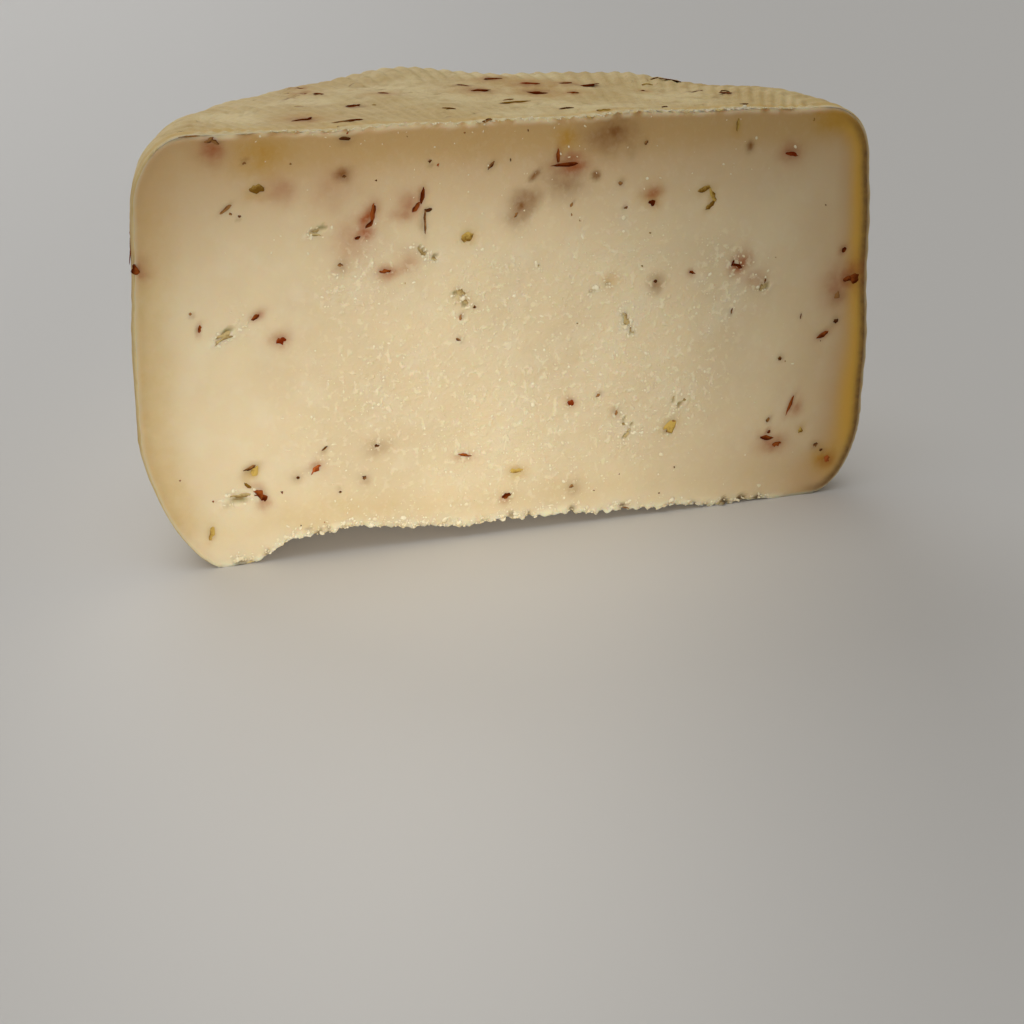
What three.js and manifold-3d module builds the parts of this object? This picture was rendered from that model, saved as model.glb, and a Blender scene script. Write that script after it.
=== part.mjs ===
// Half of a small wheel of pecorino with chili, cut down through its middle.
// It stands on its underside, with the flat cut face to -Y and the round rind to the back.
// Millimetres, +Z up. The origin is at the middle of the box that bounds it, at the bottom.
import * as THREE from "three";
import { mergeVertices } from "three/addons/utils/BufferGeometryUtils.js";
import Module from "manifold-3d";

// Driving sizes
const BELLY_RADIUS = 75; // where the wheel is widest, low on its side
const HEIGHT = 82.2; // from the ring it rests on to the mean level of the top
const AXIS_X = 0.22; // the wheel's axis stands here, and the plane of the cut goes through it
const CUT_Y = -37.46;

// The rim of the wheel at the right end of the cut and at its left end, which is more worn.
// "in" is how far a corner reaches in from the side, "up" how much of the height it takes,
// and "fullness" is 2 for an ellipse, and less for a flatter slope.
const RIGHT_RIM = {
  belly: BELLY_RADIUS,
  foot: { in: 10, up: 17, fullness: 1.85 },
  neck: 71.6, // the radius where the side turns into the top
  shoulder: { in: 12.5, up: 12.5, fullness: 2.4 },
};
const LEFT_RIM = {
  belly: BELLY_RADIUS + 0.4,
  foot: { in: 12.4, up: 25.5, fullness: 1.5 },
  neck: 72.6,
  shoulder: { in: 11.4, up: 13.2, fullness: 2 },
};
const SIDE_BULGE = 0.6;

// The wheel's top is uneven. These mounds stand on it: x, y from the axis, height, reach.
const MOUNDS = [
  { x: -8, y: 60, height: 1.6, reach: 28 },
  { x: -10, y: 60, height: 1.5, reach: 7 },
  { x: 40, y: 46, height: 1, reach: 8 },
  { x: 58, y: 22, height: 0.9, reach: 10 },
];

// The rest of the rind, the top and the cut swell in and out by this much
const RIND_SWELL = 0.3;
const TOP_SWELL = 0.5;
const CUT_SWELL = 0.3;

// The underside is dished inside the flat ring it rests on, and hollowed at the left
const DISH_DEPTH = 2.3;
const DISH_SWELL = 0.5;
const DISH_EDGE_RADIUS = 57.5;
const DISH_FLOOR_RADIUS = 48;
const DISH_FADE = { from: -8, to: 46 }; // the dish gets shallower toward the right
const HOLLOW = { x: -37, y: 0, height: 2.2, reach: 9 };

// Relief that the ribs of the mould left: scallops on both flat faces, inside a radius,
// and slanting ridges on the side, which are clearest low down
const RIB_HEIGHT_BELOW = 0.4;
const RIB_HEIGHT_ABOVE = 0.22;
const RIB_RADIUS = 56;
const RIDGE_HEIGHT = 0.16;

// How finely the surface is divided
const COLUMNS = 112; // along the edges of the cut, and round the rind
const CUT_COLUMNS = 28; // inside the cut face
const FOOT_ROWS = 5;
const WALL_ROWS = 9;
const SHOULDER_ROWS = 5;
// Where the rows of points on the flat faces lie, as shares of the way from the cut to the back.
// The last strip of the underside is the flat ring that the wheel rests on.
const TOP_SHARES = [0, 0.2, 0.4, 0.6, 0.8, 1];
const UNDERSIDE_SHARES = [0, 0.25, 0.5, 0.75, 0.905, 1];
const RIDGE_SLANT = 4; // columns that a ridge on the side moves on in one row
const ROWS = FOOT_ROWS + WALL_ROWS + SHOULDER_ROWS;

// Chili flakes: how far they stand out of the surface, how thick they are, and their uneven outline
const FLAKE_PROUD = 0.35;
const FLAKE_THICKNESS = 1.1;
const FLAKE_CORNERS = 6;
const FLAKE_BEVEL = 0.86; // the upper outline as a part of the lower one
const FLAKE_DOME = 0.06; // how much the middle is domed

// The largest flakes on the cut face: x from the middle, height z, length, width and turn in degrees
const CUT_FLAKES = [
  { x: -31.5, z: 65.5, length: 6, width: 2.2, turn: 62 },
  { x: -21.5, z: 68.5, length: 4.4, width: 1.6, turn: 68 },
  { x: -20.5, z: 63, length: 4.6, width: 1.2, turn: 85 },
  { x: 7.5, z: 74.5, length: 5.6, width: 1.6, turn: 4 },
  { x: 36.5, z: 65.5, length: 5.8, width: 3, turn: -62 },
  { x: 25, z: 65.5, length: 2.6, width: 2, turn: 40 },
  { x: -51, z: 72, length: 3.4, width: 2, turn: 5 },
  { x: -11.5, z: 61.5, length: 2.6, width: 2.2, turn: 10 },
  { x: -28, z: 55.5, length: 2.6, width: 1.3, turn: 15 },
  { x: 44, z: 52, length: 3, width: 2.4, turn: 25 },
  { x: 70, z: 47.5, length: 3.8, width: 2.8, turn: 18 },
  { x: 64, z: 35.5, length: 3.2, width: 1.4, turn: 28 },
  { x: 58, z: 21, length: 5.6, width: 1.7, turn: 70 },
  { x: 53.5, z: 13.5, length: 5, width: 2.2, turn: -14 },
  { x: 30.5, z: 20, length: 3.6, width: 3.2, turn: 10 },
  { x: 9, z: 26.5, length: 2, width: 1.8, turn: 50 },
  { x: -2.5, z: 13, length: 3.2, width: 1.7, turn: 8 },
  { x: -4.5, z: 8, length: 2.6, width: 1.7, turn: 20 },
  { x: -13.5, z: 17.5, length: 3.2, width: 1.2, turn: -12 },
  { x: -43, z: 18.5, length: 2.4, width: 1.5, turn: 40 },
  { x: -53.5, z: 14, length: 3, width: 2.2, turn: -35 },
  { x: -55.5, z: 19, length: 3.2, width: 1.8, turn: 36 },
  { x: -48.5, z: 44.5, length: 2.4, width: 1.6, turn: 28 },
  { x: -52, z: 49.5, length: 2.4, width: 1.4, turn: 34 },
  { x: 54, z: 73, length: 2.8, width: 1.4, turn: -8 },
];

// Flakes on the rind: how many, and steps that scatter them evenly over a surface
const WALL_FLAKES = 20;
const TOP_FLAKES = 12;
const TOP_FLAKE_RADII = { from: 16, to: 58 };
const SPREAD = [0.7549, 0.5698];

// Small tears in the paste, opened by the knife: x, z, length, height, depth
const TEARS = [
  { x: 32, z: 24.5, length: 4.6, height: 2, depth: 1.2 },
  { x: 21, z: 18.5, length: 3, height: 2.8, depth: 1.4 },
  { x: 20.5, z: 42, length: 2.4, height: 4.2, depth: 1.2 },
  { x: 16.5, z: 50.5, length: 2.6, height: 2, depth: 1 },
  { x: -17.5, z: 58.5, length: 3, height: 1.6, depth: 1.2 },
  { x: -40, z: 64, length: 2.8, height: 1.5, depth: 1.2 },
  { x: -12.5, z: 49, length: 2.4, height: 2.4, depth: 1 },
  { x: 60.5, z: 15.5, length: 2.4, height: 2.4, depth: 1.3 },
  { x: -58.5, z: 46.5, length: 3.8, height: 1.7, depth: 1 },
  { x: -58.5, z: 14, length: 4.2, height: 1.7, depth: 1.2 },
];
const SEED = 7;

const { PI, sin, cos, hypot, min, max, abs, pow, exp, ceil } = Math;
const mix = (a, b, t) => a + (b - a) * t;
const ramp = (from, to, v) => {
  const t = min(1, max(0, (v - from) / (to - from)));
  return t * t * (3 - 2 * t);
};

// A small generator of repeatable random numbers from 0 to 1
function seeded(seed) {
  let state = seed >>> 0;
  return () => {
    state = (state + 0x6d2b79f5) >>> 0;
    let t = state;
    t = Math.imul(t ^ (t >>> 15), t | 1);
    t ^= t + Math.imul(t ^ (t >>> 7), t | 61);
    return ((t ^ (t >>> 14)) >>> 0) / 4294967296;
  };
}

// A slow swell of the hand-made surface, from -1 to 1
function swell(a, b, phase) {
  const slow = sin(a * 0.11 + phase) + sin(b * 0.13 - a * 0.05 + 2.1 * phase);
  return (slow + sin(a * 0.23 + b * 0.19 + 3.3 * phase)) / 3;
}

// The height of a round mound, or the depth of a round hollow, at a place
const moundAt = ({ x, y, height, reach }, atX, atY) =>
  height * exp(-((atX - x) ** 2 + (atY - y) ** 2) / (2 * reach ** 2));

// Where the rim's outline runs at one end of the cut.
// Row 0 is the edge of the underside, and row ROWS that of the top.
function rimPoint({ belly, foot, neck, shoulder }, row) {
  if (row <= FOOT_ROWS) {
    const a = (row / FOOT_ROWS) * (PI / 2);
    const power = 2 / foot.fullness;
    return {
      r: belly - foot.in * (1 - pow(sin(a), power)),
      z: foot.up * (1 - pow(max(0, cos(a)), power)),
    };
  }
  const wallTop = HEIGHT - shoulder.up;
  if (row < FOOT_ROWS + WALL_ROWS) {
    const t = (row - FOOT_ROWS) / WALL_ROWS;
    return { r: mix(belly, neck, t) + SIDE_BULGE * sin(PI * t), z: mix(foot.up, wallTop, t) };
  }
  const a = ((row - FOOT_ROWS - WALL_ROWS) / SHOULDER_ROWS) * (PI / 2);
  const power = 2 / shoulder.fullness;
  return {
    r: neck - shoulder.in * (1 - pow(max(0, cos(a)), power)),
    z: wallTop + shoulder.up * pow(sin(a), power),
  };
}

// The rim's outline at an angle round the wheel, from 0 at the right end of the cut to PI at its left end
function rimAt(angle, row) {
  const left = (1 - cos(angle)) / 2;
  const a = rimPoint(RIGHT_RIM, row);
  const b = rimPoint(LEFT_RIM, row);
  return { r: mix(a.r, b.r, left), z: mix(a.z, b.z, left) };
}

// How deep the underside is dished at a place
function dish(x, y) {
  const inside = 1 - ramp(DISH_FLOOR_RADIUS, DISH_EDGE_RADIUS, hypot(x, y));
  const leftward = 1 - ramp(DISH_FADE.from, DISH_FADE.to, x);
  return inside * (DISH_DEPTH * leftward + moundAt(HOLLOW, x, y) + DISH_SWELL * (1 + swell(x * 2, y, 1.4)));
}

// How far the top stands above its mean level at a place
const unevenness = (x, y) =>
  TOP_SWELL * swell(x * 1.2, y, 4.4) + MOUNDS.reduce((sum, mound) => sum + moundAt(mound, x, y), 0);

// How far the side stands out at a place, with its ridges.
// They fade out at the foot, at the shoulder and at the cut.
function sideRelief({ x, y, z }, rib) {
  const clear = ramp(8, 18, z) * (1 - 0.6 * ramp(30, 60, z)) * (1 - ramp(60, 74, z)) * ramp(0, 6, y);
  return RIND_SWELL * swell(x * 1.6 + y, z * 1.5, 0.6) * ramp(2, 20, z) + RIDGE_HEIGHT * rib * clear;
}

// How high the ribs are on the underside and on the top at a place
function ribHeight({ x, y, z }) {
  const ribbed = 1 - ramp(RIB_RADIUS - 16, RIB_RADIUS, hypot(x, y));
  return ribbed * (RIB_HEIGHT_BELOW * (1 - ramp(0, 1, z)) + RIB_HEIGHT_ABOVE * ramp(HEIGHT - 1, HEIGHT, z));
}

// Moves a point of the ideal half wheel, whose axis is at x = 0, y = 0, to where the real surface is.
// rib is 1 on a rib that the mould left, -1 between two, and 0 for the surface midway.
function settle(point, rib = 0) {
  const { x, y, z } = point;
  const outward = 1 + sideRelief(point, rib) / BELLY_RADIUS;
  const atCut = (1 - ramp(0, 14, y)) * ramp(0, 6, z);
  const raised = ramp(HEIGHT - 26, HEIGHT, z) * unevenness(x, y);
  const dished = (1 - ramp(0, 12, z)) * dish(x, y);
  return new THREE.Vector3(
    AXIS_X + x * outward,
    CUT_Y + y * outward + atCut * CUT_SWELL * swell(x, z, 2.2),
    max(0, z + raised + dished + rib * ribHeight(point)),
  );
}

// Points of the ideal half wheel. t goes from 0 at the left end of the cut to 1 at the right end,
// along the cut or round the back.
function onCut(t, row) {
  const left = rimAt(PI, row);
  const right = rimAt(0, row);
  return new THREE.Vector3(mix(-left.r, right.r, t), 0, mix(left.z, right.z, t));
}
function onRind(t, row) {
  const angle = PI * (1 - t);
  const { r, z } = rimAt(angle, row);
  return new THREE.Vector3(r * cos(angle), t > 0 && t < 1 ? r * sin(angle) : 0, z);
}
const onFlat = (rimRow) => (t, share) => onCut(t, rimRow).lerp(onRind(t, rimRow), share);

// The closed surface, put together from strips of triangles between rows of points
class Skin {
  positions = [];
  index = [];

  // Adds a row of points, from the left end to the right end, and returns their numbers
  row(pointAt, place, columns) {
    return Array.from({ length: columns + 1 }, (_, column) => {
      const rib = columns === COLUMNS ? (column % 2) * 2 - 1 : 0;
      this.positions.push(...settle(pointAt(column / columns, place), rib).toArray());
      return this.positions.length / 3 - 1;
    });
  }

  // Joins two rows. With a slant, point i of the lower row is joined to point i + slant of the upper row.
  strip(lower, upper, flip, slant = 0) {
    const put = (a, b, c) => this.index.push(...(flip ? [a, c, b] : [a, b, c]));
    const fine = max(lower.length, upper.length) - 1;
    const lowAt = (i) => lower[ceil((i * (lower.length - 1)) / fine)];
    const highAt = (i) => upper[ceil((i * (upper.length - 1)) / fine)];
    for (let i = -slant; i < fine; i++) {
      const [a, b] = [lowAt(max(0, i)), lowAt(max(0, i + 1))];
      const [c, d] = [highAt(min(fine, i + slant)), highAt(min(fine, i + slant + 1))];
      put(a, b, d);
      put(a, d, c);
    }
  }
}

// One closed surface from the four faces of the half wheel
function halfWheel() {
  const skin = new Skin();
  const cutColumns = (row) => (row % ROWS ? CUT_COLUMNS : COLUMNS);
  const isWall = (row) => row >= FOOT_ROWS && row < FOOT_ROWS + WALL_ROWS;
  const cut = Array.from({ length: ROWS + 1 }, (_, row) => skin.row(onCut, row, cutColumns(row)));
  const rind = Array.from({ length: ROWS + 1 }, (_, row) => skin.row(onRind, row, COLUMNS));
  for (let row = 0; row < ROWS; row++) {
    skin.strip(cut[row], cut[row + 1], false);
    skin.strip(rind[row], rind[row + 1], true, isWall(row) ? RIDGE_SLANT : 0);
  }
  for (const [rimRow, shares, flip] of [[ROWS, TOP_SHARES, false], [0, UNDERSIDE_SHARES, true]]) {
    const face = shares.map((share) => skin.row(onFlat(rimRow), share, COLUMNS));
    for (let step = 1; step < face.length; step++) skin.strip(face[step - 1], face[step], flip);
  }
  return new THREE.BufferGeometry()
    .setAttribute("position", new THREE.BufferAttribute(new Float32Array(skin.positions), 3))
    .setIndex(skin.index);
}

// A flat chip with an uneven outline and a domed middle on both sides
function chipGeometry(length, width, random) {
  const half = FLAKE_THICKNESS / 2;
  const positions = [0, 0, half + FLAKE_DOME, 0, 0, -half - FLAKE_DOME];
  const index = [];
  for (let i = 0; i < FLAKE_CORNERS; i++) {
    const angle = ((i + 0.3 * random()) / FLAKE_CORNERS) * 2 * PI;
    const reach = mix(0.8, 1.2, random());
    const u = (length / 2) * cos(angle) * reach;
    const v = (width / 2) * sin(angle) * reach;
    positions.push(u * FLAKE_BEVEL, v * FLAKE_BEVEL, half, u, v, -half);
  }
  for (let i = 0; i < FLAKE_CORNERS; i++) {
    const next = (i + 1) % FLAKE_CORNERS;
    const [a, b] = [2 + 2 * i, 3 + 2 * i];
    const [c, d] = [2 + 2 * next, 3 + 2 * next];
    index.push(0, a, c, 1, d, b, a, b, d, a, d, c);
  }
  return new THREE.BufferGeometry()
    .setAttribute("position", new THREE.BufferAttribute(new Float32Array(positions), 3))
    .setIndex(index);
}

// A chip laid on the surface at a point, facing outward and turned about that direction.
// Unturned, its length is level on an upright surface, and runs along X on the top.
function layChip(point, outward, { length, width, turn }, random) {
  const upward = abs(outward.z) > 0.7 ? new THREE.Vector3(0, 1, 0) : new THREE.Vector3(0, 0, 1);
  const along = upward.clone().cross(outward).normalize();
  const across = outward.clone().cross(along);
  const place = point.clone().addScaledVector(outward, FLAKE_PROUD - FLAKE_THICKNESS / 2);
  return chipGeometry(length, width, random)
    .rotateZ(THREE.MathUtils.degToRad(turn))
    .applyMatrix4(new THREE.Matrix4().makeBasis(along, across, outward).setPosition(place));
}

const wasm = await Module();
wasm.setup();

// A closed geometry as a solid that can be joined and cut
function toSolid(geometry) {
  const bare = geometry.clone();
  bare.deleteAttribute("normal");
  bare.deleteAttribute("uv");
  const merged = mergeVertices(bare, 1e-3);
  const whole = [];
  const { array } = merged.index;
  for (let i = 0; i < array.length; i += 3) {
    const [a, b, c] = [array[i], array[i + 1], array[i + 2]];
    if (a !== b && b !== c && a !== c) whole.push(a, b, c);
  }
  return new wasm.Manifold(
    new wasm.Mesh({
      numProp: 3,
      vertProperties: merged.attributes.position.array,
      triVerts: new Uint32Array(whole),
    }),
  );
}

// A solid's surface as a geometry
function toGeometry(solid) {
  const { vertProperties, triVerts } = solid.getMesh();
  const geometry = new THREE.BufferGeometry()
    .setAttribute("position", new THREE.BufferAttribute(new Float32Array(vertProperties), 3))
    .setIndex(new THREE.BufferAttribute(new Uint32Array(triVerts), 1));
  geometry.computeVertexNormals();
  return geometry;
}

// The chips of chili on the cut face
const cutFlakes = (random) =>
  CUT_FLAKES.map((flake) => {
    const point = settle(new THREE.Vector3(flake.x, 0, flake.z));
    return layChip(point, new THREE.Vector3(0, -1, 0), flake, random);
  });

// Chips scattered round the side
const wallFlakes = (random) =>
  Array.from({ length: WALL_FLAKES }, (_, i) => {
    const angle = PI * mix(0.06, 0.94, (i * SPREAD[0]) % 1);
    const row = FOOT_ROWS + WALL_ROWS * mix(0.05, 0.95, (i * SPREAD[1]) % 1);
    const { r, z } = rimAt(angle, row);
    const outward = new THREE.Vector3(cos(angle), sin(angle), 0);
    const flake = { length: mix(3, 7, random()), width: mix(1.6, 3.2, random()), turn: 180 * random() };
    return layChip(settle(new THREE.Vector3(r * outward.x, r * outward.y, z)), outward, flake, random);
  });

// Chips scattered over the top
const topFlakes = (random) =>
  Array.from({ length: TOP_FLAKES }, (_, i) => {
    const angle = PI * mix(0.08, 0.92, (0.4 + i * SPREAD[0]) % 1);
    const reach = mix(TOP_FLAKE_RADII.from, TOP_FLAKE_RADII.to, (0.3 + i * SPREAD[1]) % 1);
    const point = settle(new THREE.Vector3(reach * cos(angle), reach * sin(angle), HEIGHT));
    const flake = { length: mix(3, 6, random()), width: mix(1.6, 3, random()), turn: 180 * random() };
    return layChip(point, new THREE.Vector3(0, 0, 1), flake, random);
  });

// The small tears: flattened balls, sunk to their middle
const tears = () =>
  TEARS.map(({ x, z, length, height, depth }) => {
    const middle = settle(new THREE.Vector3(x, 0, z));
    return new THREE.SphereGeometry(1, 7, 4).scale(length / 2, depth, height / 2).translate(...middle);
  });

// The half wheel with its tears, and with its flakes fused on
function cheese() {
  const random = seeded(SEED);
  let solid = toSolid(halfWheel());
  for (const tear of tears()) solid = solid.subtract(toSolid(tear));
  for (const chip of [...cutFlakes(random), ...wallFlakes(random), ...topFlakes(random)]) {
    solid = solid.add(toSolid(chip));
  }
  const mesh = new THREE.Mesh(
    toGeometry(solid),
    new THREE.MeshStandardMaterial({ color: 0xdcc9a0, roughness: 0.55, metalness: 0 }),
  );
  mesh.name = "cheese";
  return mesh;
}

const part = new THREE.Group();
part.add(cheese());

export default part;
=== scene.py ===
"""Dresses the half wheel of chili pecorino: paste, rind, chili and crumbs, with light and camera.

Lengths are in millimetres and become metres where a mesh is made. The wheel's axis is upright and the
cut face looks to -Y. An angle round the wheel goes from 0 at the cut's right end to pi at its left end.
"""
import logging
import math
from dataclasses import dataclass, field
from enum import Enum

import bpy
import numpy as np
from mathutils import Matrix, Vector


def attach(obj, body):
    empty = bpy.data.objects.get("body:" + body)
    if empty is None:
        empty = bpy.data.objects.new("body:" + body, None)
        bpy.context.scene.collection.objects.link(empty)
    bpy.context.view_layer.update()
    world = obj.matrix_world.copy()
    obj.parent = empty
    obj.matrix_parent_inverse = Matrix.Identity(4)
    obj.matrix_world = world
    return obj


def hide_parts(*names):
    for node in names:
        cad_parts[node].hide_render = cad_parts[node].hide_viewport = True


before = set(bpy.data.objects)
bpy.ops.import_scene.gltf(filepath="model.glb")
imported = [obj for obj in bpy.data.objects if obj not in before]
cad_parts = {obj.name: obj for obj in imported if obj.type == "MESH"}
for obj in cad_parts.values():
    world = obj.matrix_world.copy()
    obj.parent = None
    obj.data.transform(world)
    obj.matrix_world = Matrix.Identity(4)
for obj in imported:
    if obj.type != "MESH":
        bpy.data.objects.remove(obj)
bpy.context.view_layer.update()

MM = 0.001
BODY = "root"
NODE = "cheese"
SEED = 11

Array = np.ndarray
Span = tuple[float, float]
Colour = tuple[float, float, float]
Socket = bpy.types.NodeSocket
Value = Socket | float | Colour
Spots = tuple[Array, Array, Array]  # places, sizes as length and width, and turns in radians

ON_CUT, ON_TOP = (0, 2), (0, 1)  # the two axes of the plane in which marks lie
MIX_FIRST, MIX_SECOND, MIX_RESULT = 6, 7, 2  # the colour sockets of a Mix node

log = logging.getLogger("pecorino")


def ramp(start: float, end: float, value: Array) -> Array:
    """Rises smoothly from 0 at start to 1 at end, as 3t^2 - 2t^3.

    Args:
        start: Where the rise begins.
        end: Where it ends.
        value: The numbers to map.

    Returns:
        Numbers from 0 to 1.
    """
    t = np.clip((value - start) / (end - start), 0.0, 1.0)
    return t * t * (3 - 2 * t)


def mix(first: Array, second: Array, share: Array) -> Array:
    """Goes in a straight line from first, at share 0, to second, at share 1."""
    return first + (second - first) * share


def bell(distance: Array, reach: float) -> Array:
    """A bell curve: 1 at distance 0, and falling off over the reach."""
    return np.exp(-(distance**2) / (2 * reach**2))


def swell(a: Array, b: Array, phase: float) -> Array:
    """The slow swell of the hand-made surface: the mean of three sine waves, from -1 to 1."""
    first = np.sin(a * 0.11 + phase)
    second = np.sin(b * 0.13 - a * 0.05 + 2.1 * phase)
    return (first + second + np.sin(a * 0.23 + b * 0.19 + 3.3 * phase)) / 3


def stream(number: int) -> np.random.Generator:
    """The random numbers of one draw, always the same: each draw has a number of its own."""
    return np.random.default_rng(SEED + number)


def colour(red: int, green: int, blue: int) -> Colour:
    """Turns a colour as it shows on a screen, 0 to 255, into the linear one that a shader takes."""
    return tuple((part / 255) ** 2.2 for part in (red, green, blue))


@dataclass(frozen=True)
class Grain:
    """Smooth seeded noise: random heights at the corners of a cubic lattice, blended between them."""

    seed: int

    def corner(self, i: Array, j: Array, k: Array) -> Array:
        """The random height, from -1 to 1, of lattice corners, from a hash of their numbers."""
        mask = 0xFFFFFFFF
        mixed = (i * 374761393 + j * 668265263 + k * 1442695041 + self.seed * 974634777) & mask
        mixed = ((mixed ^ (mixed >> 13)) * 1274126177) & mask
        return ((mixed ^ (mixed >> 16)) & 0xFFFF) / 32767.5 - 1.0

    def at(self, x: Array, y: Array, z: Array) -> Array:
        """One layer of the noise.

        Args:
            x: First coordinates, in lattice steps.
            y: Second coordinates.
            z: Third coordinates.

        Returns:
            Heights from -1 to 1.
        """
        cell = [np.floor(c).astype(np.int64) for c in (x, y, z)]
        part = [c - f for c, f in zip((x, y, z), cell)]
        u, v, w = (p * p * p * (p * (p * 6 - 15) + 10) for p in part)
        i, j, k = cell
        level = []
        for dk in (0, 1):
            near = mix(self.corner(i, j, k + dk), self.corner(i + 1, j, k + dk), u)
            far = mix(self.corner(i, j + 1, k + dk), self.corner(i + 1, j + 1, k + dk), u)
            level.append(mix(near, far, v))
        return mix(level[0], level[1], w)

    def over(self, points: Array, size: float, layers: int = 3) -> Array:
        """Layers of noise, each half as large and half as high as the one before.

        Args:
            points: Places, one row of x, y, z each.
            size: The size of the largest bumps.
            layers: How many layers.

        Returns:
            Heights from about -1 to 1.
        """
        total = np.zeros(len(points))
        reach = 0.0
        for layer in range(layers):
            scaled = points * (2**layer / size) + 17.3 * layer
            total += self.at(scaled[:, 0], scaled[:, 1], scaled[:, 2]) / 2**layer
            reach += 1 / 2**layer
        return total / reach


@dataclass(frozen=True)
class Corner:
    """A rounded corner of the rim: how far in and up it reaches, and its fullness (2 is an ellipse)."""

    inward: float
    up: float
    fullness: float


@dataclass(frozen=True)
class Rim:
    """The outline of the rind at one end of the cut."""

    belly: float
    foot: Corner
    neck: float
    shoulder: Corner


@dataclass(frozen=True)
class Mound:
    """A round mound on the top, or a hollow in the underside. x and y are from the wheel's axis."""

    x: float
    y: float
    height: float
    reach: float

    def at(self, x: Array, y: Array) -> Array:
        """Its height at places: a bell curve of the distance from its middle."""
        return self.height * bell(np.hypot(x - self.x, y - self.y), self.reach)


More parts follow.
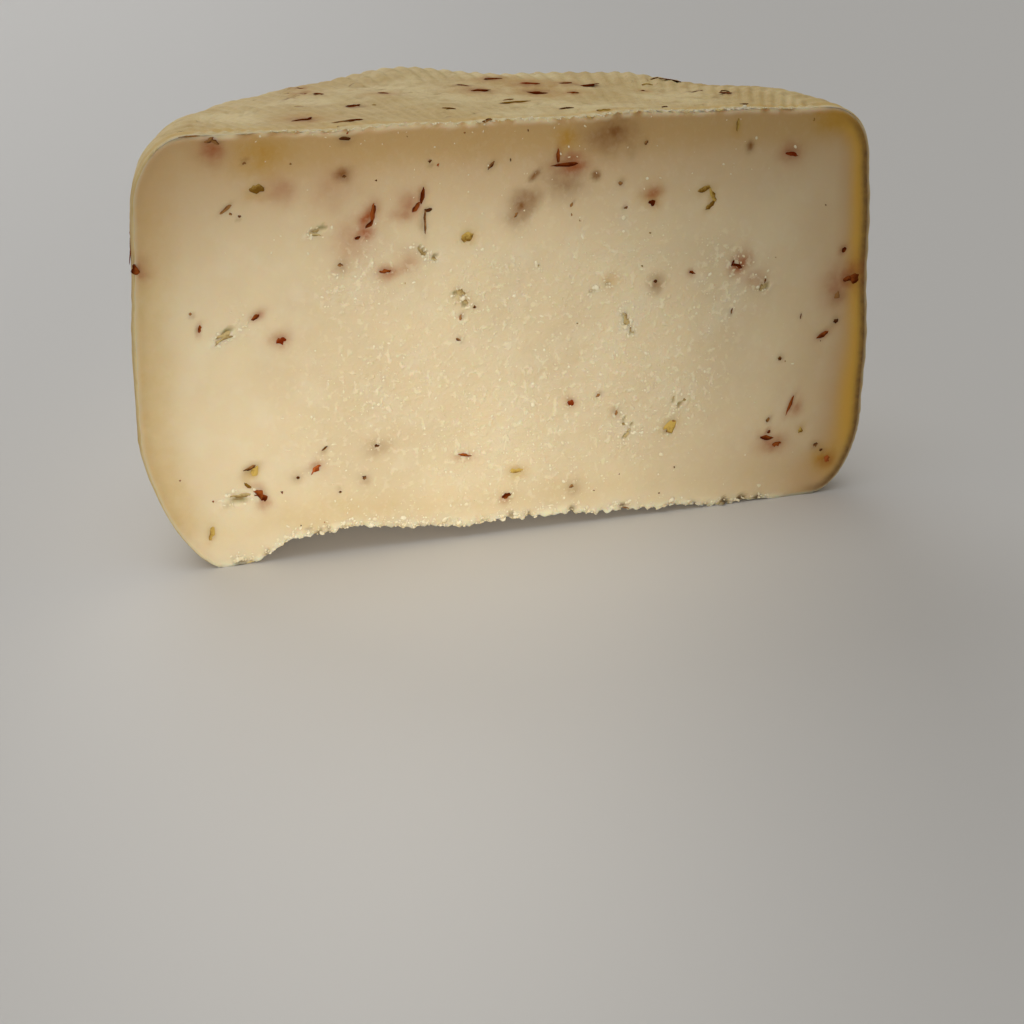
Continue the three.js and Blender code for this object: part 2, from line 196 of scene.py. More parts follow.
@dataclass(frozen=True)
class Wheel:
    """The true form of the half wheel, as the solid has it, before its fine relief.

    The mould left ribs on both flat faces, inside rib_radius, and slanting ridges on the side.
    """

    height: float = 82.2
    axis_x: float = 0.22
    cut_y: float = -37.46
    right: Rim = Rim(75, Corner(10, 17, 1.85), 71.6, Corner(12.5, 12.5, 2.4))
    left: Rim = Rim(75.4, Corner(12.4, 25.5, 1.5), 72.6, Corner(11.4, 13.2, 2))
    side_bulge: float = 0.6
    side_swell: float = 0.3
    cut_swell: float = 0.3
    top_swell: float = 0.5
    mounds: tuple[Mound, ...] = (
        Mound(-8, 60, 1.6, 28),
        Mound(-10, 60, 1.5, 7),
        Mound(40, 46, 1, 8),
        Mound(58, 22, 0.9, 10),
    )
    hollow: Mound = Mound(-37, 0, 2.2, 9)
    dish_depth: float = 2.3
    dish_swell: float = 0.5
    dish_edge: float = 57.5
    dish_floor: float = 48
    dish_fade: Span = (-8, 46)
    ribs: int = 56
    rib_radius: float = 56
    rib_fade: float = 16
    rib_below: float = 0.25
    rib_above: float = 0.22
    ridge_height: float = 0.16
    ridge_slant: float = 36 / 112

    def outline(self, rim: Rim, along: Array) -> tuple[Array, Array]:
        """The rim's outline in three stretches: foot, side and shoulder.

        Foot and shoulder are quarters of superellipses, and the side is a line with a slight bulge.

        Args:
            rim: The rim.
            along: 0 at the underside, 1 and 2 at the ends of the side, 3 at the top.

        Returns:
            Distances from the axis, and heights.
        """
        top = self.height - rim.shoulder.up
        low = np.clip(along, 0, 1) * math.pi / 2
        high = np.clip(along - 2, 0, 1) * math.pi / 2
        middle = np.clip(along - 1, 0, 1)
        foot_power, shoulder_power = 2 / rim.foot.fullness, 2 / rim.shoulder.fullness
        foot_r = rim.belly - rim.foot.inward * (1 - np.sin(low) ** foot_power)
        foot_z = rim.foot.up * (1 - np.cos(low) ** foot_power)
        side_r = mix(rim.belly, rim.neck, middle) + self.side_bulge * np.sin(math.pi * middle)
        side_z = mix(rim.foot.up, top, middle)
        shoulder_r = rim.neck - rim.shoulder.inward * (1 - np.clip(np.cos(high), 0, 1) ** shoulder_power)
        shoulder_z = top + rim.shoulder.up * np.sin(high) ** shoulder_power
        stretch = [along <= 1, along < 2]
        r = np.select(stretch, [foot_r, side_r], shoulder_r)
        return r, np.select(stretch, [foot_z, side_z], shoulder_z)

    def rows(self, count: int) -> Array:
        """Places along the rim's outline at even distances, for a number of rows."""
        along = np.linspace(0, 3, 900)
        r, z = self.outline(self.right, along)
        travelled = np.concatenate([[0], np.cumsum(np.hypot(np.diff(r), np.diff(z)))])
        return np.interp(np.linspace(0, travelled[-1], count + 1), travelled, along)

    def rim_at(self, angle: Array, along: Array) -> tuple[Array, Array]:
        """The outline at an angle round the wheel, blended from the rims of both ends of the cut."""
        leftward = (1 - np.cos(angle)) / 2
        right_r, right_z = self.outline(self.right, along)
        left_r, left_z = self.outline(self.left, along)
        return mix(right_r, left_r, leftward), mix(right_z, left_z, leftward)

    def on_cut(self, t: Array, along: Array) -> Array:
        """Points of the flat cut: straight from the outline of its left end to that of its right end."""
        left_r, left_z = self.outline(self.left, along)
        right_r, right_z = self.outline(self.right, along)
        return np.stack([mix(-left_r, right_r, t), 0 * t, mix(left_z, right_z, t)], -1)

    def on_rind(self, t: Array, along: Array) -> Array:
        """Points of the rind: the outline carried round the back, from the left end to the right."""
        angle = math.pi * (1 - t)
        r, z = self.rim_at(angle, along)
        return np.stack([r * np.cos(angle), r * np.sin(angle), z], -1)

    def rib(self, t: Array, along: Array, drift: Array) -> Array:
        """The mould's ribs: a wave round the wheel, 1 on a rib, slanting where it crosses the side."""
        climbed = np.clip(along - 1, 0, 1) * self.ridge_slant
        return -np.cos(2 * math.pi * (self.ribs * (t - climbed) + drift))

    def settle(self, ideal: Array, rib: Array | float = 0.0) -> Array:
        """Moves points of the ideal half wheel to the real surface, as the solid does.

        The side swells and is ridged, the top is uneven, and the underside is dished and ribbed.

        Args:
            ideal: Points with the wheel's axis at x 0, y 0.
            rib: How high the mould's ribs stand there, from -1 to 1, or 0 for their mean.

        Returns:
            Points in the part's own frame, in millimetres.
        """
        x, y, z = ideal[..., 0], ideal[..., 1], ideal[..., 2]
        radius = np.hypot(x, y)
        clear = ramp(8, 18, z) * (1 - 0.6 * ramp(30, 60, z)) * (1 - ramp(60, 74, z)) * ramp(0, 6, y)
        side = self.side_swell * swell(x * 1.6 + y, z * 1.5, 0.6) * ramp(2, 20, z)
        outward = 1 + (side + self.ridge_height * rib * clear) / self.right.belly
        at_cut = (1 - ramp(0, 14, y)) * ramp(0, 6, z)
        uneven = self.top_swell * swell(x * 1.2, y, 4.4) + sum(mound.at(x, y) for mound in self.mounds)
        inside = 1 - ramp(self.dish_floor, self.dish_edge, radius)
        dish = self.dish_depth * (1 - ramp(*self.dish_fade, x)) + self.hollow.at(x, y)
        dish = inside * (dish + self.dish_swell * (1 + swell(x * 2, y, 1.4)))
        ribbed = 1 - ramp(self.rib_radius - self.rib_fade, self.rib_radius, radius)
        below, above = 1 - ramp(0, 1, z), ramp(self.height - 1, self.height, z)
        rib_height = ribbed * (self.rib_below * below + self.rib_above * above)
        raised = ramp(self.height - 26, self.height, z) * uneven + (1 - ramp(0, 12, z)) * dish
        settled_y = self.cut_y + y * outward + at_cut * self.cut_swell * swell(x, z, 2.2)
        settled_z = np.maximum(0, z + raised + rib * rib_height)
        return np.stack([self.axis_x + x * outward, settled_y, settled_z], -1)


@dataclass(frozen=True)
class PhotoCamera:
    """The camera of the photograph, found from the outline of the half wheel in it."""

    place: tuple[float, float, float] = (-86.8, -305.5, 124.0)
    pitch: float = 23.1
    heading: float = 17.3
    focal_pixels: float = 1500.0
    frame_pixels: float = 1024.0
    sensor: float = 36.0
    clip: Span = (0.01, 20.0)

    def axes(self) -> tuple[Array, Array, Array]:
        """The camera's right, up and forward directions, from its heading and its downward pitch."""
        turn, dip = math.radians(self.heading), math.radians(self.pitch)
        right = np.array([math.cos(turn), -math.sin(turn), 0.0])
        level = np.array([math.sin(turn), math.cos(turn), 0.0])
        forward = level * math.cos(dip) - np.array([0, 0, math.sin(dip)])
        return right, np.cross(right, forward), forward

    def ray(self, pixels: Array) -> Array:
        """Directions through pixels of the photograph, one row each."""
        right, up, forward = self.axes()
        offset = (pixels - self.frame_pixels / 2) / self.focal_pixels
        return forward + offset[:, :1] * right - offset[:, 1:] * up

    def onto(self, pixels: Array, axis: int, level: float) -> Array:
        """Where the rays through pixels meet the plane on which one coordinate has a given value."""
        rays = self.ray(pixels)
        travelled = (level - self.place[axis]) / rays[:, axis]
        return np.array(self.place) + rays * travelled[:, None]

    def build(self) -> None:
        """Makes the scene's camera."""
        right, up, forward = self.axes()
        data = bpy.data.cameras.new("camera")
        data.sensor_width = self.sensor
        data.lens = self.focal_pixels / self.frame_pixels * self.sensor
        data.clip_start, data.clip_end = self.clip
        camera = bpy.data.objects.new("camera", data)
        turned = Matrix((right, up, -forward)).transposed().to_4x4()
        camera.matrix_world = Matrix.Translation(Vector(self.place) * MM) @ turned
        bpy.context.scene.collection.objects.link(camera)
        bpy.context.scene.camera = camera


class Kind(Enum):
    """What a mark in the cheese is."""

    RED = "dark red flake of chili"
    BRIGHT = "brighter, orange-red flake"
    BROWN = "brown bit"
    OCHRE = "yellow seed or skin"
    OLIVE = "olive-grey tear in the paste"
    RED_STAIN = "reddish stain"
    YELLOW_STAIN = "yellow-orange stain"
    GREY_STAIN = "brownish shadow of a flake under the surface"


@dataclass(frozen=True)
class Mark:
    """A mark seen in the photograph: its pixel there, its real size, and its turn in degrees.

    A stain spreads round it over its halo's reach, as strongly as its strength says.
    """

    kind: Kind
    pixel: Span
    length: float
    width: float
    turn: float
    halo: float = 0.0
    strength: float = 1.0


def marks(kind: Kind, *rows: tuple[float, ...]) -> tuple[Mark, ...]:
    """Marks of one kind, each from a row of its numbers, of which the first two are its pixel."""
    return tuple(Mark(kind, row[:2], *row[2:]) for row in rows)


CUT_MARKS = (
    *marks(
        Kind.RED,
        (374, 213, 3.4, 0.9, 85, 1.0), (369, 223, 2.4, 0.7, 42, 0.8), (357, 238, 1.3, 0.6, 20, 0.8),
        (422, 197, 3.3, 0.8, 80, 0.8), (417, 208, 2.3, 0.7, 52, 0.8), (568, 163, 6.2, 0.7, 4, 0.8),
        (558, 155, 3.0, 0.6, 88, 0.6), (384, 272, 2.3, 0.8, 2, 0.9), (135, 272, 1.8, 1.5, 60, 1.6),
        (257, 316, 1.7, 0.7, 30, 0.8), (199, 329, 1.7, 0.5, 80, 0.6), (259, 492, 2.0, 1.3, -50, 0.8),
        (264, 500, 2.2, 1.4, -42, 0.8), (464, 457, 3.0, 0.5, -14, 0.7), (507, 496, 2.2, 1.0, 18, 0.9),
        (791, 405, 5.0, 0.7, 70, 0.7), (768, 433, 0.9, 0.7, 60, 0.5), (765, 439, 3.4, 0.9, -14, 0.9),
        (777, 444, 2.2, 1.1, 8, 0.8), (823, 334, 3.0, 0.8, 26, 0.8), (855, 277, 2.4, 1.6, 70, 1.0),
        (849, 278, 2.2, 1.1, 14, 0.8), (844, 250, 1.3, 0.9, 60, 0.8), (738, 267, 2.2, 0.7, -24, 0.6),
        (734, 262, 1.4, 0.6, 70, 0.5), (691, 272, 1.5, 0.6, -30, 0.5), (653, 203, 1.6, 1.1, -40, 0.6),
    ),
    *marks(
        Kind.BRIGHT,
        (280, 339, 2.0, 1.3, 18, 0.8), (316, 467, 2.6, 0.9, 40, 0.9), (571, 402, 1.6, 1.3, -20, 0.7),
        (826, 458, 1.4, 1.3, 60, 1.2), (791, 154, 2.8, 0.8, -12, 1.0),
    ),
    *marks(
        Kind.BROWN,
        (208, 141, 1.8, 0.6, 30, 0.4), (215, 142, 1.6, 0.6, -35, 0.4), (424, 224, 4.9, 0.5, 90, 0.5),
        (428, 211, 1.6, 0.7, 0, 0.3), (340, 265, 1.0, 0.8, 0, 1.2), (192, 316, 0.6, 0.5, 0, 0.3),
        (250, 470, 2.9, 0.7, 22, 0.8), (297, 476, 0.7, 0.5, 0, 1.2), (364, 479, 0.9, 0.8, 60, 1.0),
        (615, 413, 1.3, 0.5, 80, 1.1), (769, 421, 1.3, 0.8, 80, 0.6), (815, 446, 1.1, 0.9, 10, 0.9),
        (822, 449, 0.8, 0.6, 10, 0.5), (836, 322, 1.2, 0.9, 20, 0.8), (837, 297, 1.7, 1.1, 60, 1.6),
        (655, 282, 0.9, 0.8, 0, 0.8), (801, 316, 1.3, 0.35, 88, 0.2), (492, 166, 2.0, 0.6, 50, 0.5),
        (517, 216, 1.3, 0.5, 50, 0.5), (346, 138, 2.2, 0.6, 0, 0.8), (343, 178, 0.8, 0.5, 10, 0.3),
        (573, 204, 1.0, 0.4, 60, 0.4), (625, 206, 0.9, 0.4, 20, 0.3), (621, 183, 0.9, 0.7, 0, 0.5),
        (645, 144, 0.9, 0.7, 60, 0.4), (431, 163, 0.7, 0.6, 0, 0.3), (226, 208, 3.2, 0.5, 35, 0.4),
        (239, 217, 0.6, 0.5, 0, 0.2), (245, 162, 0.7, 0.4, 0, 0.3), (474, 306, 0.8, 0.6, 0, 0.4),
        (462, 316, 1.2, 0.5, 80, 0.3), (459, 339, 1.4, 0.5, -35, 0.3), (779, 360, 0.9, 0.8, 0, 0.5),
        (733, 312, 1.5, 0.4, 80, 0.2), (766, 282, 1.0, 0.4, 80, 0.5), (599, 396, 1.0, 0.7, 20, 0.5),
        (572, 487, 1.0, 0.8, 0, 1.4), (625, 508, 1.7, 0.9, 0, 0.8), (340, 491, 0.7, 0.5, 0, 0.3),
        (377, 445, 1.0, 0.7, 0, 1.4), (325, 450, 1.8, 0.4, 40, 0.3), (673, 421, 1.4, 0.6, 10, 0.3),
        (666, 431, 0.9, 0.5, 30, 0.3),
    ),
    *marks(
        Kind.OCHRE,
        (706, 189, 2.9, 1.0, 15, 0.6), (712, 197, 2.6, 0.9, -62, 0.6), (710, 206, 2.2, 0.9, 40, 0.6),
        (739, 127, 2.6, 0.6, 84, 0.8), (256, 191, 3.0, 1.7, 4, 1.0), (469, 237, 2.5, 1.8, 20, 0.7),
        (516, 472, 3.2, 1.2, 6, 1.0), (248, 484, 2.2, 0.7, -45, 0.4), (254, 474, 2.0, 1.2, 60, 0.6),
        (670, 425, 2.6, 2.2, 30, 1.0), (801, 429, 1.6, 1.2, 70, 0.7), (211, 536, 3.4, 1.1, 75, 0.5),
    ),
    *marks(
        Kind.OLIVE,
        (226, 336, 4.0, 1.1, 34), (237, 499, 5.0, 1.2, 14), (318, 232, 2.8, 0.9, 8),
        (422, 252, 2.9, 0.8, -40), (435, 259, 1.1, 0.5, -20), (606, 285, 1.0, 0.5, 30),
        (627, 321, 3.6, 1.1, -62), (631, 331, 1.8, 0.9, -30), (623, 423, 1.0, 0.7, 0),
        (630, 429, 1.0, 0.6, 20), (625, 436, 2.0, 1.0, 35), (675, 397, 1.0, 0.8, 60),
        (681, 403, 2.4, 0.8, 40), (459, 294, 1.6, 0.8, -30), (467, 303, 1.1, 0.6, -35),
        (765, 286, 1.8, 0.9, 40), (591, 291, 1.0, 0.4, 80), (538, 266, 1.2, 0.4, 70),
    ),
    *marks(
        Kind.RED_STAIN,
        (366, 219, 4.4, 2.4, 55, 0.6, 1.5), (364, 233, 3.8, 2.2, 30, 0.8, 1.3),
        (352, 240, 5.0, 4.0, 60, 2.2, 0.6), (410, 203, 3.4, 3.0, 70, 1.0, 0.9),
        (405, 213, 3.6, 1.4, 15, 1.4, 0.9), (574, 168, 5.2, 1.8, 0, 0.5, 1.5),
        (570, 158, 4.6, 1.2, 4, 0.5, 1.1), (388, 272, 3.4, 1.2, 6, 1.0, 1.1),
        (406, 263, 3.2, 1.0, 15, 1.4, 0.7), (280, 339, 2.6, 1.8, 18, 1.0, 0.9),
        (797, 407, 3.4, 1.6, 66, 0.8, 0.9), (771, 442, 5.4, 2.2, -14, 1.0, 1.0),
        (851, 276, 4.4, 3.6, 10, 1.4, 1.2), (836, 286, 3.0, 7.0, 0, 1.8, 0.8),
        (742, 263, 3.4, 3.0, 30, 1.0, 1.4), (756, 279, 3.0, 2.0, -20, 1.4, 0.6),
        (653, 193, 2.6, 1.3, 8, 1.0, 1.1), (791, 154, 3.6, 1.6, -12, 1.2, 1.0),
        (212, 152, 2.6, 2.4, 0, 1.4, 1.2), (281, 190, 3.0, 2.4, 0, 1.8, 0.7),
        (330, 190, 3.6, 2.4, 60, 2.6, 0.4),
    ),
    *marks(
        Kind.YELLOW_STAIN,
        (253, 474, 2.2, 1.6, 30, 0.8, 0.9), (824, 456, 3.0, 2.4, -40, 2.0, 1.2),
        (653, 198, 3.0, 3.4, 0, 1.2, 0.7), (609, 281, 2.6, 1.8, 10, 0.8, 0.5),
        (464, 297, 2.8, 2.0, -40, 0.8, 0.6), (262, 156, 5.0, 3.2, 10, 2.4),
        (566, 138, 2.4, 2.2, 0, 1.2, 1.2), (836, 112, 8.0, 4.0, -20, 3.2),
    ),
    *marks(
        Kind.GREY_STAIN,
        (558, 180, 4.6, 3.2, 60, 2.6, 0.7), (750, 147, 1.3, 1.1, 0, 0.6, 1.5),
        (522, 208, 3.6, 0.8, 52, 0.5, 1.3), (342, 176, 2.2, 1.3, 10, 0.5, 1.5),
        (536, 176, 1.9, 0.8, 45, 0.5, 1.5), (596, 177, 1.4, 0.9, 0, 0.5, 1.4),
        (611, 135, 8.0, 4.4, 4, 2.4), (615, 133, 3.4, 2.0, 20, 1.2, 1.4), (525, 206, 4.4, 1.8, 50, 2.0),
        (566, 182, 5.0, 3.0, 30, 2.4, 0.8), (655, 284, 1.6, 1.4, 0, 1.2),
        (377, 446, 2.2, 1.4, 20, 1.6, 0.55),
    ),
)

TOP_MARKS = (
    *marks(
        Kind.RED,
        (354, 104, 2.6, 1.8, 10, 1.0), (352, 117, 3.0, 1.0, 0, 0.8), (464, 87, 2.4, 1.2, 0, 0.8),
        (584, 85, 5.4, 2.0, 5, 1.2), (694, 88, 2.8, 1.2, 0, 0.6), (728, 91, 2.6, 1.0, 0, 0.6),
        (317, 94, 1.8, 1.4, 0, 0.6),
    ),
    *marks(
        Kind.BROWN,
        (194, 138, 3.4, 0.3, 0), (179, 126, 2.2, 0.8, 0, 0.6), (340, 118, 3.6, 0.4, 0),
        (452, 107, 1.6, 0.5, 0), (508, 97, 2.0, 0.6, 0), (489, 118, 2.0, 0.6, -10, 0.6),
        (564, 105, 2.6, 0.8, 10, 0.6), (654, 79, 2.0, 0.8, 0, 0.6), (744, 100, 2.0, 1.0, 0, 0.6),
    ),
    *marks(
        Kind.OCHRE,
        (449, 106, 2.2, 0.8, 0, 0.6), (516, 99, 5.4, 1.0, 5, 0.8), (605, 108, 2.4, 1.4, 0, 0.6),
    ),
)


@dataclass(frozen=True)
class Patch:
    """A grainy patch of the cut: its pixel in the photograph, its reach, and how grainy it is."""

    pixel: Span
    reach: float
    strength: float


GRAINY = tuple(
    Patch(row[:2], *row[2:])
    for row in (
        (345, 292, 3.6, 1.0), (375, 272, 4.5, 0.6), (478, 300, 4.5, 1.0), (503, 284, 4.0, 0.9),
        (592, 286, 4.5, 0.8), (640, 332, 6.0, 0.8), (692, 326, 5.0, 1.0), (664, 402, 5.0, 1.0),
        (612, 402, 4.0, 0.8), (625, 440, 3.0, 1.0), (470, 425, 4.5, 0.7), (395, 368, 6.0, 0.6),
        (738, 286, 4.0, 0.8), (722, 252, 3.4, 0.8), (690, 375, 5.0, 0.7), (238, 322, 2.2, 0.9),
        (345, 400, 8.0, 0.4), (630, 262, 7.0, 0.5), (520, 350, 16.0, 0.45), (620, 380, 16.0, 0.4),
        (420, 440, 14.0, 0.4), (520, 450, 10.0, 0.4),
    )
)


@dataclass
class SurfaceMesh:
    """A mesh in the making: points in millimetres, triangles, and numbers carried by each point."""

    points: Array
    triangles: Array
    values: dict[str, Array] = field(default_factory=dict)
    slots: Array | None = None

    def normals(self) -> Array:
        """Outward directions at the points: the sum of the crossed edges of the triangles round each."""
        corner = self.points[self.triangles]
        crossed = np.cross(corner[:, 1] - corner[:, 0], corner[:, 2] - corner[:, 0])
        total = np.zeros_like(self.points)
        for axis in range(3):
            spread = np.repeat(crossed[:, axis], 3)
            total[:, axis] = np.bincount(self.triangles.ravel(), spread, len(self.points))
        return total / np.maximum(np.linalg.norm(total, axis=1, keepdims=True), 1e-12)

    def build(self, name: str, materials: list[bpy.types.Material]) -> bpy.types.Object:
        """Makes the mesh object, smooth, riding on the part's body.

        Args:
            name: The piece's name.
            materials: Its materials, in the order that slots counts them.

        Returns:
            The object, at the origin.
        """
        mesh = bpy.data.meshes.new(name)
        count = len(self.triangles)
        mesh.vertices.add(len(self.points))
        mesh.vertices.foreach_set("co", (self.points * MM).astype(np.float32).ravel())
        mesh.loops.add(3 * count)
        mesh.loops.foreach_set("vertex_index", self.triangles.astype(np.int32).ravel())
        mesh.polygons.add(count)
        mesh.polygons.foreach_set("loop_start", np.arange(0, 3 * count, 3, dtype=np.int32))
        mesh.polygons.foreach_set("loop_total", np.full(count, 3, dtype=np.int32))
        mesh.update(calc_edges=True)
        mesh.validate()
        mesh.shade_smooth()
        for key, numbers in self.values.items():
            layer = mesh.attributes.new(key, "FLOAT", "POINT")
            layer.data.foreach_set("value", numbers.astype(np.float32))
        for material in materials:
            mesh.materials.append(material)
        if self.slots is not None:
            mesh.polygons.foreach_set("material_index", self.slots.astype(np.int32))
        piece = bpy.data.objects.new(name, mesh)
        bpy.context.scene.collection.objects.link(piece)
        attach(piece, BODY)
        log.info("%s: %d triangles", name, count)
        return piece


def grid_triangles(numbers: Array, flip: bool) -> Array:
    """Splits a grid of point numbers into triangles, without those that have no area."""
    a, b = numbers[:-1, :-1].ravel(), numbers[:-1, 1:].ravel()
    c, d = numbers[1:, :-1].ravel(), numbers[1:, 1:].ravel()
    pairs = [(a, b, d), (a, d, c)]
    if flip:
        pairs = [(a, d, b), (a, c, d)]
    found = np.concatenate([np.stack(pair, -1) for pair in pairs])
    first, second, third = found.T
    return found[(first != second) & (second != third) & (first != third)]


class Paint:
    """A material's node tree, with one method for each thing that its finish is put together from."""

    def __init__(self, name: str) -> None:
        """Starts an empty material.

        Args:
            name: The material's name.
        """
        self.material = bpy.data.materials.new(name)
        self.material.use_nodes = True
        self.tree = self.material.node_tree
        self.shader = self.tree.nodes["Principled BSDF"]
        self.coordinates = self.tree.nodes.new("ShaderNodeTexCoord").outputs["Object"]

    def put(self, socket: Socket, value: Value) -> None:
        """Links a socket, or sets its number, its three numbers or its colour."""
        if isinstance(value, bpy.types.NodeSocket):
            self.tree.links.new(value, socket)
        elif isinstance(value, tuple):
            socket.default_value = (*value, 1.0)[: len(socket.default_value)]
        else:
            socket.default_value = value

    def finish(self, settings: dict[str, Value]) -> bpy.types.Material:
        """Puts values into the shader's sockets by their names, and returns the finished material."""
        for name, value in settings.items():
            self.put(self.shader.inputs[name], value)
        return self.material

    def mask(self, name: str) -> Socket:
        """A number that the mesh carries."""
        node = self.tree.nodes.new("ShaderNodeAttribute")
        node.attribute_name = name
        return node.outputs["Fac"]

    def noise(self, size: float, detail: float,
              stretch: tuple[float, float, float] = (1, 1, 1)) -> Socket:
        """Cloudy noise whose bumps are about size millimetres, drawn out where stretch is above 1."""
        mapping = self.tree.nodes.new("ShaderNodeMapping")
        mapping.inputs["Scale"].default_value = [1 / (size * MM * part) for part in stretch]
        self.put(mapping.inputs["Vector"], self.coordinates)
        node = self.tree.nodes.new("ShaderNodeTexNoise")
        node.inputs["Scale"].default_value = 1.0
        node.inputs["Detail"].default_value = detail
        self.put(node.inputs["Vector"], mapping.outputs["Vector"])
        return node.outputs["Fac"]

    def steps(self, value: Socket, low: float, high: float) -> Socket:
        """Rises smoothly from 0 where the value is low to 1 where it is high."""
        node = self.tree.nodes.new("ShaderNodeMapRange")
        node.interpolation_type = "SMOOTHSTEP"
        self.put(node.inputs["Value"], value)
        node.inputs["From Min"].default_value = low
        node.inputs["From Max"].default_value = high
        return node.outputs["Result"]

    def math(self, operation: str, first: Socket | float, second: Socket | float) -> Socket:
        """Two numbers put together by an operation of the Math node."""
        node = self.tree.nodes.new("ShaderNodeMath")
        node.operation = operation
        self.put(node.inputs[0], first)
        self.put(node.inputs[1], second)
        return node.outputs[0]

    def times(self, first: Socket | float, second: Socket | float) -> Socket:
        """The product of two numbers."""
        return self.math("MULTIPLY", first, second)

    def plus(self, first: Socket | float, second: Socket | float) -> Socket:
        """The sum of two numbers."""
        return self.math("ADD", first, second)

    def patches(self, noise: Socket, low: float, high: float, share: float) -> Socket:
        """Soft patches that reach a share where the noise is above high, and are 0 below low."""
        return self.times(self.steps(noise, low, high), share)

    def frayed(self, name: str, noise: Socket, width: float) -> Socket:
        """A mask whose edges fray: the noise, less its mean, is added to it at a width."""
        return self.plus(self.mask(name), self.times(self.plus(noise, -0.5), width))

    def blend(self, share: Socket | float, first: Socket | Colour, second: Socket | Colour) -> Socket:
        """Goes from the first colour to the second as share goes from 0 to 1."""
        node = self.tree.nodes.new("ShaderNodeMix")
        node.data_type = "RGBA"
        self.put(node.inputs["Factor"], share)
        self.put(node.inputs[MIX_FIRST], first)
        self.put(node.inputs[MIX_SECOND], second)
        return node.outputs[MIX_RESULT]

    def cover(self, base: Socket, layers: tuple[tuple[Socket, Colour], ...]) -> Socket:
        """Lays colours over a base one after the other, each by its own share."""
        for share, tint in layers:
            base = self.blend(share, base, tint)
        return base

    def bump(self, height: Socket, deep: float, under: Socket | None = None) -> Socket:
        """A normal bent by a height of 0 to 1 that stands for deep millimetres."""
        node = self.tree.nodes.new("ShaderNodeBump")
        node.inputs["Distance"].default_value = deep * MM
        self.put(node.inputs["Height"], height)
        if under is not None:
            self.put(node.inputs["Normal"], under)
        return node.outputs["Normal"]


@dataclass(frozen=True)
class PasteFinish:
    """The cut paste: cream, slightly translucent, amber under the rind, with stains and crystals, and
    with painted shade at the cut's rounded ends, in the torn hollows and partly in the tears.
    """

    cream: Colour = colour(232, 213, 173)
    pale: Colour = colour(240, 228, 198)
    dull: Colour = colour(206, 184, 146)
    amber: Colour = colour(222, 172, 64)
    # warm lies beside the amber, and in a wider band under the top and right rind, where it is partly
    # painted shade
    warm: Colour = colour(202, 160, 104)
    tan: Colour = colour(206, 174, 108)
    crystal: Colour = colour(243, 230, 194)
    stains: tuple[tuple[str, Colour], ...] = (
        # the next tint is painted shade: a dark band where the cut's rounded ends turn away from the
        # light, strongest on the right
        ("line", colour(118, 86, 40)),
        ("yellow", colour(196, 148, 50)),
        ("grey", colour(142, 94, 38)),
        ("red", colour(164, 86, 30)),
        # the olive of the tears is partly the torn paste's colour and partly painted shade in their
        # hollows
        ("olive", colour(168, 148, 92)),
        # the next tint is painted shade: dark brown in the deepest hollows of the torn lower edge
        ("pore_shade", colour(104, 78, 44)),
        ("skin", colour(206, 192, 158)),
    )
    scatter: tuple[float, float, float] = (2.6, 1.5, 0.7)

    def build(self) -> bpy.types.Material:
        """Makes the material."""
        paint = Paint("paste")
        waves = paint.noise(3, 3)
        veins = paint.steps(paint.frayed("tan", waves, 0.35), 0.05, 0.95)
        amber = paint.steps(paint.frayed("amber", paint.noise(5, 2, (1, 1, 3)), 0.3), 0.05, 0.95)
        base = paint.blend(paint.patches(paint.noise(24, 2), 0.35, 0.7, 0.4), self.cream, self.dull)
        base = paint.cover(base, (
            (paint.patches(paint.noise(6, 3), 0.45, 0.7, 0.25), self.pale),
            (paint.times(veins, 0.85), self.tan),
            (paint.times(paint.mask("warm"), 0.75), self.warm),
            (paint.times(amber, 0.95), self.amber),
        ))
        uneven = paint.plus(0.6, paint.times(paint.noise(1.5, 3), 0.8))
        # stains, with painted shade among them: at the cut's ends, in the torn hollows and partly in the
        # tears
        for name, tint in self.stains:
            base = paint.blend(paint.times(paint.mask(name), uneven), base, tint)
        crumbly = paint.mask("crumbly")
        flecks = paint.times(crumbly, paint.steps(paint.noise(1.3, 3), 0.54, 0.66))
        white = paint.math("MAXIMUM", paint.times(flecks, 0.7), paint.times(paint.mask("white"), 0.85))
        rough = paint.plus(0.42, paint.times(waves, 0.2))
        fine = paint.bump(paint.noise(0.6, 4), 0.06)
        grainy = paint.bump(paint.times(crumbly, paint.noise(0.9, 4)), 0.25, fine)
        return paint.finish({
            "Base Color": paint.blend(white, base, self.crystal),
            "Roughness": paint.plus(rough, paint.times(white, 0.2)),
            "Normal": paint.bump(white, 0.12, grainy),
            "Subsurface Weight": 0.55,
            "Subsurface Radius": self.scatter,
            "Subsurface Scale": MM,
            "Specular IOR Level": 0.4,
        })


